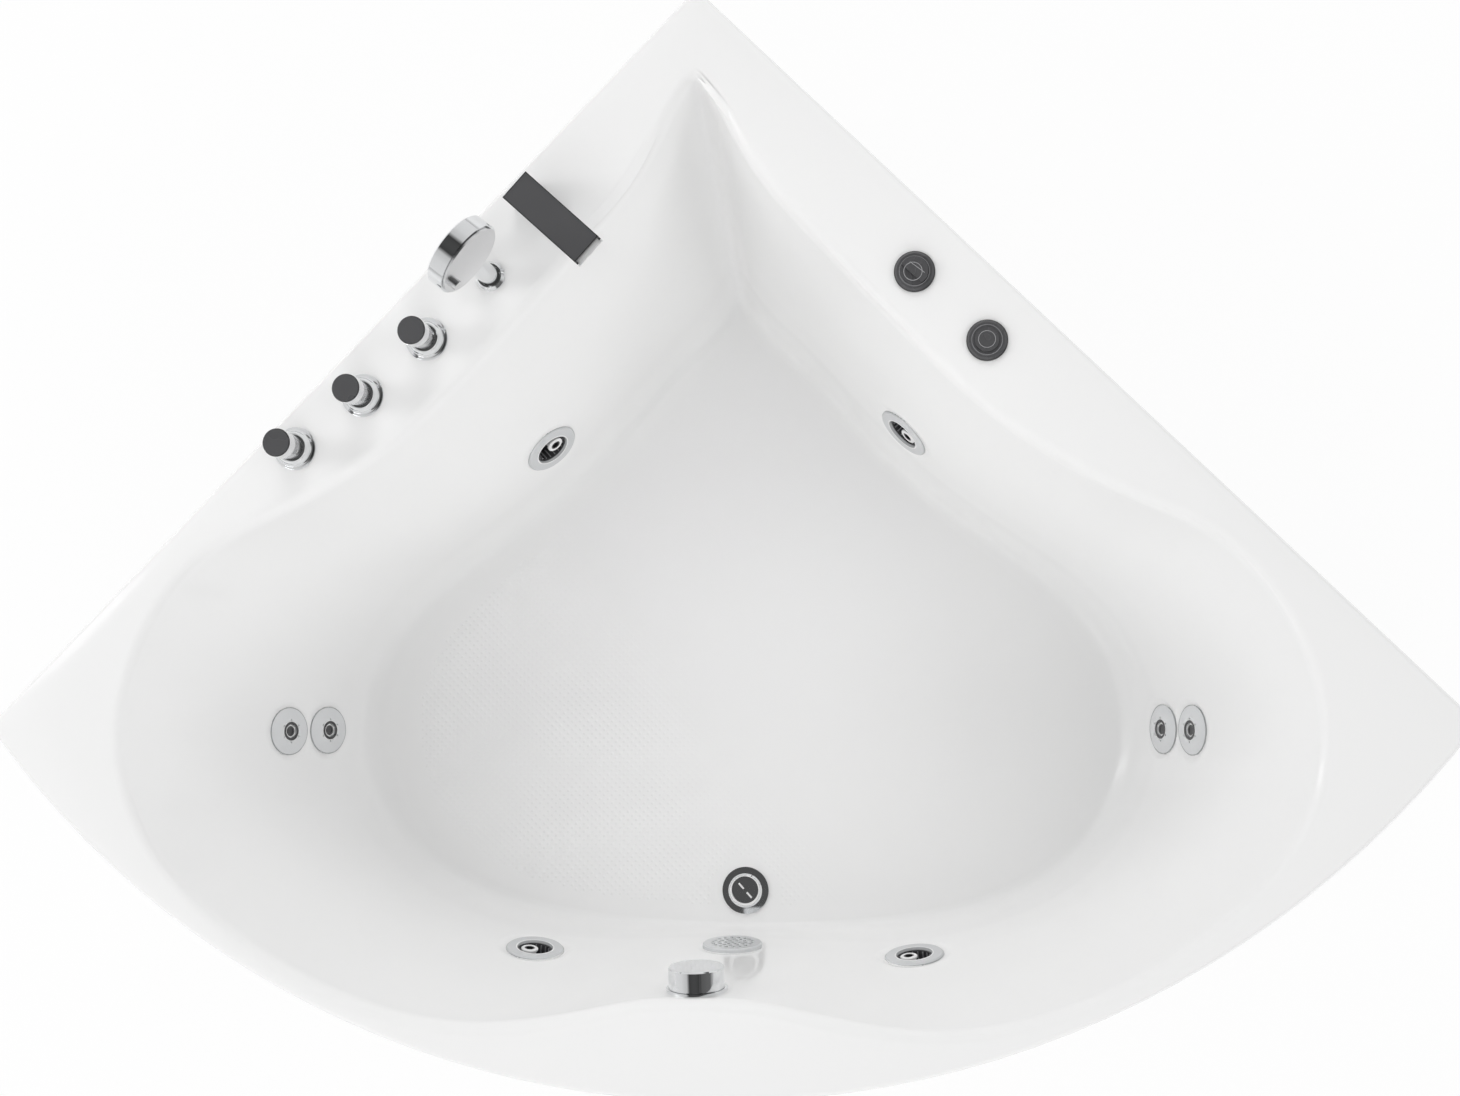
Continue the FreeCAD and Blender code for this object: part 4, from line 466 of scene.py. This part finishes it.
PIPE_GREY = plain("pipe_grey", (0.55, 0.57, 0.60), (0.62, 0.64, 0.67), (0.35, 0.45))
FRAME_PAINT = plain("frame_powder_coat", (0.42, 0.43, 0.44), (0.47, 0.48, 0.49), (0.40, 0.55), relief=0.15)
ZINC = plain("zinc", (0.55, 0.55, 0.53), (0.66, 0.66, 0.64), (0.28, 0.42), metal=1.0)
BRASS = plain("brass", (0.62, 0.46, 0.20), (0.70, 0.54, 0.26), (0.25, 0.38), metal=1.0)
COPPER = plain("copper", (0.62, 0.32, 0.20), (0.72, 0.40, 0.27), (0.22, 0.36), metal=1.0)
BLACK_PLASTIC = plain("black_plastic", (0.035, 0.035, 0.037), (0.05, 0.05, 0.053), (0.45, 0.6), relief=0.1)
RUBBER = plain("rubber", (0.03, 0.03, 0.03), (0.05, 0.05, 0.05), (0.6, 0.8), relief=0.2)
MOTOR = plain("motor_paint", (0.09, 0.10, 0.13), (0.12, 0.135, 0.17), (0.35, 0.5), relief=0.2)
BOARD = plain("board", (0.50, 0.38, 0.24), (0.62, 0.49, 0.33), (0.6, 0.75), grain=30.0, relief=0.2)
RIB_GREY = plain("rib_grey", (0.20, 0.20, 0.21), (0.28, 0.28, 0.29), (0.12, 0.2), coat=0.4)
CONTROL_LINE = plain("control_line", (0.34, 0.34, 0.35), (0.40, 0.40, 0.41), (0.3, 0.4))
# Grey for the painted contact shade round the jets' flanges and the small jets' domes.
EDGE_SHADE_GREY = plain("edge_shade_grey", (0.40, 0.41, 0.42), (0.46, 0.47, 0.48), (0.3, 0.4))
OUTLINE_BLACK = plain("outline_black", (0.012, 0.012, 0.013), (0.02, 0.02, 0.021), (0.25, 0.35))

SLOT_LOOK = {
    "acrylic": WHITE_ACRYLIC, "frame_paint": FRAME_PAINT, "board": BOARD, "foot_rubber": RUBBER,
    "zinc": ZINC, "brass": BRASS, "copper": COPPER, "chrome": CHROME, "satin": SATIN,
    "jet_ring": LIGHT_RING, "dark_cup": DARK_CUP_AND_BORE_SHADE, "white_plastic": WHITE_PLASTIC_AND_HIGHLIGHTS, "back_jet": BACK_JET,
    "pvc": PIPE_WHITE, "air_pipe": PIPE_GREY, "graphite": GRAPHITE, "pump_black": BLACK_PLASTIC,
    "motor_paint": MOTOR,
}


def dress_nodes():
    """Every node gets the material of its slot, and round faces are shaded round."""
    slots = {part["node"]: part["material_slot"] for part in frame["record"]["subparts"]}
    for name, node in nodes.items():
        mesh = node.data
        mesh.materials.clear()
        mesh.materials.append(SLOT_LOOK[slots[name]])
        mesh.shade_smooth()
        mesh.set_sharp_from_angle(angle=math.radians(30.0))


# ================================================================ finer pieces
def seat_frame(point, normal):
    """Axes of a seat: Z out of the wall, X level."""
    out = Vector(normal).normalized()
    side = Vector((0.0, 0.0, 1.0)).cross(out)
    side = side.normalized() if side.length > 1e-3 else Vector((1.0, 0.0, 0.0))
    turned = Matrix((side, out.cross(side), out)).transposed().to_4x4()
    turned.translation = Vector(point)
    return turned


def piece(name, work, body, look, angle=30.0):
    """Turns finished geometry into an object that rides on its body."""
    mesh = bpy.data.meshes.new(name)
    bmesh.ops.recalc_face_normals(work, faces=work.faces)
    for face in work.faces:
        face.smooth = True
    work.to_mesh(mesh)
    work.free()
    mesh.set_sharp_from_angle(angle=math.radians(angle))
    mesh.materials.append(look)
    made = bpy.data.objects.new(name, mesh)
    bpy.context.scene.collection.objects.link(made)
    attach(made, body)
    return made


def join_rows(work, rows):
    for row, after in zip(rows, rows[1:]):
        for k in range(len(row)):
            n = (k + 1) % len(row)
            work.faces.new((row[k], row[n], after[n], after[k]))


def revolve(work, place, profile, count=64):
    """A closed or open outline of (radius, height) in millimetres turned about a seat's axis."""
    rows = []
    for radius, height in profile:
        spots = [Vector((radius * math.cos(t), radius * math.sin(t), height)) for t in turns(count)]
        rows.append([work.verts.new(place @ (spot * 0.001)) for spot in spots])
    join_rows(work, rows)


def lathe(name, places, profile, body, look, count=64):
    work = bmesh.new()
    for place in places:
        revolve(work, place, profile, count)
    bmesh.ops.remove_doubles(work, verts=work.verts, dist=1e-7)
    return piece(name, work, body, look)


def bar(work, place, low, high):
    """A block between two corners in millimetres, in the axes of a place."""
    verts = []
    for z in (low[2], high[2]):
        for x, y in ((low[0], low[1]), (high[0], low[1]), (high[0], high[1]), (low[0], high[1])):
            verts.append(work.verts.new(place @ (Vector((x, y, z)) * 0.001)))
    for face in ((3, 2, 1, 0), (4, 5, 6, 7), (0, 1, 5, 4), (1, 2, 6, 5), (2, 3, 7, 6), (3, 0, 4, 7)):
        work.faces.new([verts[k] for k in face])


def joint_frame(name):
    joint = next(j for j in frame["joints"] if j["name"] == name)
    return seat_frame(joint["pos_m"], joint["axis"])


def jets():
    """Lip of each turning nozzle with a near-black disc in its throat as painted shade, ribs round each cup, and a
    grey line round each flange as painted contact shade.
    """
    names = [j["name"] for j in frame["joints"] if j["name"].startswith("nozzle_turn_")]
    for name in names:
        body = name.replace("nozzle_turn_", "nozzle_")
        place = joint_frame(name)
        outlet = place @ Matrix.Translation((0.008, 0.0, 0.0))
        collar = ((7.2, 1.3), (7.8, 1.8), (11.2, 1.55), (12.4, 0.7), (12.4, -1.6), (10.1, -2.4))
        lathe(body + "_lip", [outlet], collar, body, WHITE_PLASTIC_AND_HIGHLIGHTS)
        # A near-black disc down in each nozzle's bore: painted shade for the hole.
        throat = ((0.01, -2.6), (5.4, -2.6), (5.4, 1.15), (7.3, 1.4))
        lathe(body + "_bore_shade", [outlet], throat, body, OUTLINE_BLACK, 40)
        work = bmesh.new()
        for turn in turns(18):
            turned = place @ Matrix.Rotation(turn, 4, "Z")
            bar(work, turned, (21.6, -0.8, -17.0), (23.3, 0.8, -1.5))
        piece(body + "_ribs", work, "tub", RIB_GREY)
    places = [joint_frame(name) for name in names]
    edge = ((26.1, 3.95), (26.6, 4.25), (27.6, 4.25), (28.1, 3.95))
    lathe("jet_inner_edges", places, edge, "tub", WHITE_PLASTIC_AND_HIGHLIGHTS)
    # A grey line round each flange's edge: painted contact shade.
    outline = ((41.9, 1.9), (42.15, 1.5), (42.15, 0.2), (41.9, 0.05))
    lathe("jet_flange_contact_shades", places, outline, "tub", EDGE_SHADE_GREY)


def back_jets():
    """Dark ring round each small jet's hexagon with a dark disc in its throat as painted shade, a grey line round
    its dome as painted edge shade, and a white ring on the dome's top as painted highlight.
    """
    places = [seat_frame(*seat_of(part, BACK_JET_DOME)) for part in loose_parts("back_jet_flanges")]
    ring = ((10.0, 5.6), (10.3, 6.3), (13.6, 6.35), (14.0, 6.0))
    lathe("back_jet_rings", places, ring, "tub", DARK_CUP_AND_BORE_SHADE)
    # A dark disc down in each small jet's bore: painted shade for the hole.
    throat = ((0.01, 3.2), (4.9, 3.2), (4.9, 4.1), (7.6, 4.15))
    lathe("back_jet_bore_shades", places, throat, "tub", DARK_CUP_AND_BORE_SHADE, 32)
    # A grey line round the dome's edge: painted edge shade.
    dome_edge_shade = ((34.2, 2.1), (34.6, 2.5), (35.1, 2.3), (35.2, 0.3))
    lathe("back_jet_edge_shades", places, dome_edge_shade, "tub", EDGE_SHADE_GREY)
    # A white ring on the dome's flat top: painted highlight.
    halo = ((14.0, 6.02), (14.2, 6.25), (14.8, 6.3), (15.0, 6.0))
    lathe("back_jet_top_highlights", places, halo, "tub", WHITE_PLASTIC_AND_HIGHLIGHTS)


def drain():
    """Painted highlights on the plug: two short light lines across its sunk face, and a light ring round it, wider
    towards the front.
    """
    top = top_of("waste_plug")
    place = top @ Matrix.Rotation(math.radians(-48.0), 4, "Z")
    work = bmesh.new()
    # Two light dashes on the plug's face: painted reflection of the lights.
    for start, end in ((-14.5, -3.5), (3.5, 14.5)):
        bar(work, place, (start, -1.3, -2.6), (end, 1.3, -2.1))
    piece("plug_glints", work, "waste_plug", WHITE_PLASTIC_AND_HIGHLIGHTS)
    work, rows = bmesh.new(), []
    # A light ring round the plug, wider at the front: painted highlight of the gap.
    rim = ((22.9, -0.1, 0.0), (22.6, 0.35, 0.0), (20.5, 0.35, 1.2), (20.2, 0.0, 1.2))
    for radius, height, shift in rim:
        spots = [(radius * math.cos(t), radius * math.sin(t) + shift, height) for t in turns(72)]
        rows.append([work.verts.new(top @ (Vector(spot) * 0.001)) for spot in spots])
    join_rows(work, rows)
    piece("plug_gap_highlight", work, "waste_plug", WHITE_PLASTIC_AND_HIGHLIGHTS)


def controls():
    """Light rings on the regulator and the button, a light line along the regulator's step as painted highlight,
    and the dark foot of each.
    """
    # node, body, radius of the inner ring and its shift from the middle, in millimetres
    knobs = (
        ("regulator_knob", "regulator_knob", 12.0, (-1.6, -1.4)),
        ("button_cap", "button", 11.0, (0.0, 0.4)),
    )
    for node, body, radius, shift in knobs:
        place = top_of(node) @ Matrix.Translation((shift[0] * 0.001, shift[1] * 0.001, 0.0))
        ring = ((radius - 0.45, -0.1), (radius - 0.25, 0.3), (radius + 0.25, 0.3), (radius + 0.45, -0.1))
        lathe(node + "_ring", [place], ring, body, CONTROL_LINE, 72)
    work = bmesh.new()
    # A light line along the edge of the regulator's step: painted highlight.
    turned = top_of("regulator_knob") @ Matrix.Rotation(math.radians(52.0), 4, "Z")
    bar(work, turned, (5.2, -13.0, -0.1), (6.0, 11.0, 0.35))
    piece("regulator_step_highlight", work, "regulator_knob", CONTROL_LINE)
    for node, *_ in knobs:
        place = top_of(node)
        place.translation.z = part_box("control_housings")[1].z
        edge = ((19.3, 0.0), (19.6, 0.35), (20.1, 0.35), (20.4, 0.0))
        lathe(node + "_bezel", [place], edge, "tub", RIB_GREY, 72)
        outer = ((26.2, -2.6), (27.05, -3.2), (27.15, -3.8), (27.15, -7.0))
        lathe(node + "_foot", [place], outer, "tub", OUTLINE_BLACK, 72)


def escutcheons():
    """The bell under each tap, with its foot's bead, in place of the plain cones."""
    profile = (
        (29.5, 0.05), (29.5, 1.6), (29.1, 2.6), (28.0, 3.4), (26.6, 3.8), (25.2, 4.6), (23.8, 6.4),
        (22.8, 9.0), (22.1, 12.0), (21.2, 15.0), (19.9, 17.2), (18.0, 18.0), (10.0, 18.1), (4.2, 18.1),
    )
    places = [joint_frame(name + "_turn") for name in ("diverter", "cold", "hot")]
    made = lathe("tap_bells", places, profile, "tub", CHROME, 96)
    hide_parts("valve_escutcheons")


def spout_trim():
    """The thin black line round the spout's dark top, painted shade of the groove at its edge, and the light lip
    in its open end.
    """
    mesh = nodes["spout_plate"].data
    top = max(v.co.z for v in mesh.vertices)
    corners = sorted({tuple(round(c, 6) for c in v.co) for v in mesh.vertices if v.co.z > top - 1e-5})
    middle = Vector((sum(c[0] for c in corners), sum(c[1] for c in corners), 0.0)) / len(corners)
    corners.sort(key=lambda c: math.atan2(c[1] - middle.y, c[0] - middle.x))
    # A black strip round the plate's top edges: painted shade of the edge groove.
    work = bmesh.new()
    rings = []
    for share, lift in ((1.0, -0.0004), (1.0, 0.00015), (0.0, 0.00035), (0.0, 0.0)):
        ring = []
        for k, corner in enumerate(corners):
            here = Vector(corner)
            before, after = Vector(corners[k - 1]), Vector(corners[(k + 1) % len(corners)])
            inward = ((before - here).normalized() + (after - here).normalized()) * 0.0011 * (1.0 - share)
            ring.append(work.verts.new(here + inward + Vector((0.0, 0.0, lift))))
        rings.append(ring)
    join_rows(work, rings)
    piece("spout_plate_edge_shade", work, "tub", OUTLINE_BLACK)
    basin = Vector((0.0, MIDDLE_Y, 0.0))
    front = sorted(corners, key=lambda c: (Vector((c[0], c[1], 0.0)) - basin).length)[:2]
    end = (Vector(front[0]) + Vector(front[1])) / 2.0
    along = (Vector((end.x, end.y, 0.0)) - middle).normalized()
    place = Matrix.Translation(end) @ Matrix.Rotation(math.atan2(along.y, along.x), 4, "Z")
    work = bmesh.new()
    bar(work, place, (-3.0, -20.2, -12.97), (3.8, 20.2, -12.3))
    piece("spout_lip", work, "tub", WHITE_PLASTIC_AND_HIGHLIGHTS)


def grip_dots():
    """Low domes in a slanting grid over the left of the floor, dying out to the right."""
    outline = curve_through(floor_outline())
    middle = outline.mean(0)
    outline = middle + (outline - middle) * GRIP_FLOOR_SHARE
    waste = np.array(top_of("waste_flange").translation.xy)
    work = bmesh.new()
    step = GRIP_PITCH / math.sqrt(2.0)
    for i in range(-GRIP_STEPS, GRIP_STEPS + 1):
        for j in range(-GRIP_STEPS, GRIP_STEPS + 1):
            spot = np.array(((i + j) * step, (i - j) * step + MIDDLE_Y))
            fade = np.clip((GRIP_EDGE - spot @ GRIP_ACROSS) / GRIP_FADE, 0.0, 1.0)
            by_waste = np.linalg.norm(spot - waste) < GRIP_WASTE_GAP
            if fade < GRIP_LEAST or by_waste or not inside(spot, outline):
                continue
            dome(work, spot, GRIP_RADIUS, GRIP_HEIGHT * fade)
    piece("grip_dots", work, "tub", WHITE_ACRYLIC, 80.0)


def inside(spot, outline):
    after = np.roll(outline, -1, 0)
    crosses = (outline[:, 1] > spot[1]) != (after[:, 1] > spot[1])
    rise = np.where(after[:, 1] == outline[:, 1], 1e-12, after[:, 1] - outline[:, 1])
    at = outline[:, 0] + (spot[1] - outline[:, 1]) * (after[:, 0] - outline[:, 0]) / rise
    return bool(np.count_nonzero(crosses & (spot[0] < at)) % 2)


def dome(work, spot, radius, height):
    rows = []
    for share, lift in ((1.0, 0.0), (0.62, 0.78)):
        x, y = radius * share * np.cos(turns(GRIP_SIDES)), radius * share * np.sin(turns(GRIP_SIDES))
        z = FLOOR + height * lift + GRIP_LIFT
        rows.append([work.verts.new((spot[0] + a, spot[1] + b, z)) for a, b in zip(x, y)])
    join_rows(work, rows)
    top = work.verts.new((spot[0], spot[1], FLOOR + height))
    for k in range(GRIP_SIDES):
        work.faces.new((rows[1][k], rows[1][(k + 1) % GRIP_SIDES], top))


# ================================================================ light, floor, camera
def pale_world():
    """Plain light all round, white to the camera. Metal sees a dark ceiling and a dark right side."""
    world = bpy.data.worlds.new("studio")
    bpy.context.scene.world = world
    world.use_nodes = True
    tree = world.node_tree
    path = tree.nodes.new("ShaderNodeLightPath")
    place = tree.nodes.new("ShaderNodeTexCoord")
    split = tree.nodes.new("ShaderNodeSeparateXYZ")
    tree.links.new(place.outputs["Generated"], split.inputs["Vector"])
    ceiling = ramp(tree, split.outputs["Z"], CEILING)
    side = ramp(tree, split.outputs["X"], RIGHT_DARK)
    sides = tree.nodes.new("ShaderNodeMix")
    sides.data_type = "RGBA"
    sides.blend_type = "MULTIPLY"
    sides.inputs["Factor"].default_value = 1.0
    tree.links.new(ceiling, sides.inputs["A"])
    tree.links.new(side, sides.inputs["B"])
    glossy = pick(tree, path.outputs["Is Glossy Ray"], (AMBIENT,) * 3, sides.outputs["Result"])
    clear = tree.nodes.new("ShaderNodeMath")
    clear.operation = "MAXIMUM"
    tree.links.new(path.outputs["Is Camera Ray"], clear.inputs[0])
    tree.links.new(path.outputs["Is Transmission Ray"], clear.inputs[1])
    seen = tree.nodes.new("ShaderNodeMix")
    seen.data_type = "RGBA"
    seen.inputs["B"].default_value = (1.0, 1.0, 1.0, 1.0)
    tree.links.new(clear.outputs["Value"], seen.inputs["Factor"])
    tree.links.new(glossy, seen.inputs["A"])
    tree.links.new(seen.outputs["Result"], tree.nodes["Background"].inputs["Color"])


def ramp(tree, value, stops):
    made = tree.nodes.new("ShaderNodeValToRGB")
    points = made.color_ramp.elements
    while len(points) < len(stops):
        points.new(0.5)
    for point, (place, grey) in zip(points, stops):
        point.position = place
        point.color = (grey, grey, grey, 1.0)
    tree.links.new(value, made.inputs["Fac"])
    return made.outputs["Color"]


def pick(tree, factor, colour, other):
    made = tree.nodes.new("ShaderNodeMix")
    made.data_type = "RGBA"
    made.inputs["A"].default_value = (*colour, 1.0)
    tree.links.new(factor, made.inputs["Factor"])
    tree.links.new(other, made.inputs["B"])
    return made.outputs["Result"]


def pale_floor():
    bpy.ops.mesh.primitive_plane_add(size=40.0, location=(0.0, 0.0, 0.0))
    floor = bpy.context.object
    floor.name = "floor"
    made, tree, shader = material("pale_floor")
    shader.inputs["Base Color"].default_value = (0.90, 0.90, 0.90, 1.0)
    shader.inputs["Roughness"].default_value = 0.9
    glow = tree.nodes.new("ShaderNodeEmission")
    glow.inputs["Strength"].default_value = 1.0
    path = tree.nodes.new("ShaderNodeLightPath")
    amount = tree.nodes.new("ShaderNodeMath")
    amount.operation = "MULTIPLY"
    amount.inputs[1].default_value = FLOOR_GLOW
    tree.links.new(path.outputs["Is Camera Ray"], amount.inputs[0])
    mix = tree.nodes.new("ShaderNodeMixShader")
    tree.links.new(amount.outputs["Value"], mix.inputs["Fac"])
    tree.links.new(shader.outputs["BSDF"], mix.inputs[1])
    tree.links.new(glow.outputs["Emission"], mix.inputs[2])
    tree.links.new(mix.outputs["Shader"], tree.nodes["Material Output"].inputs["Surface"])
    floor.data.materials.append(made)


def lamp(name, place, aim, size, power, glossy=True, beam=180.0):
    data = bpy.data.lights.new(name, "AREA")
    data.spread = math.radians(beam)
    data.shape = "RECTANGLE"
    data.size, data.size_y = size
    data.energy = power
    made = bpy.data.objects.new(name, data)
    made.location = place
    made.rotation_euler = (Vector(aim) - Vector(place)).to_track_quat("-Z", "Y").to_euler()
    made.visible_glossy = glossy
    made.visible_camera = False
    bpy.context.scene.collection.objects.link(made)


def lights():
    lamp("front_soft", (0.4, -4.2, 2.7), (0.0, 0.0, 0.4), (3.0, 2.0), FRONT_POWER, glossy=False)
    lamp("back_soft", (-0.2, 4.4, 3.0), (0.0, -0.2, 0.4), (2.4, 1.6), BACK_POWER, glossy=False)
    lamp("left_soft", (-4.2, 0.6, 2.8), (0.0, -0.1, 0.4), (2.0, 1.6), LEFT_POWER, glossy=False)
    lamp("right_soft", (4.2, 0.0, 2.8), (0.0, -0.1, 0.4), (2.0, 1.6), RIGHT_POWER, glossy=False)
    lamp(
        "floor_soft", (-0.1, 0.05, 4.6), (-0.1, 0.0, 0.2), (0.5, 0.5), FLOOR_POWER,
        glossy=False, beam=24.0,
    )
    lamp("left_strip", (-3.0, 0.4, 2.2), (0.0, -0.2, 0.4), (0.35, 2.4), STRIP_POWER)
    lamp("front_strip", (-2.4, -2.4, 1.9), (0.0, -0.2, 0.4), (1.6, 0.35), LOW_STRIP_POWER)


def camera():
    data = bpy.data.cameras.new("camera")
    data.sensor_width = 36.0
    width, height = PHOTO
    data.lens = FOCAL_PIXELS * data.sensor_width / width
    data.shift_x = (width / 2.0 - MIDDLE_PIXEL[0]) / width
    data.shift_y = (MIDDLE_PIXEL[1] - height / 2.0) / width
    data.clip_start, data.clip_end = 0.05, 100.0
    made = bpy.data.objects.new("camera", data)
    made.location = CAMERA_PLACE
    made.rotation_euler = [math.radians(turn) for turn in CAMERA_TILT]
    bpy.context.scene.collection.objects.link(made)
    bpy.context.scene.camera = made


# ================================================================ the scene
camera()
dress_nodes()
tub()
jets()
back_jets()
drain()
controls()
escutcheons()
spout_trim()
grip_dots()
pale_world()
pale_floor()
lights()
bpy.context.scene.view_settings.view_transform = "Standard"
bpy.context.view_layer.update()
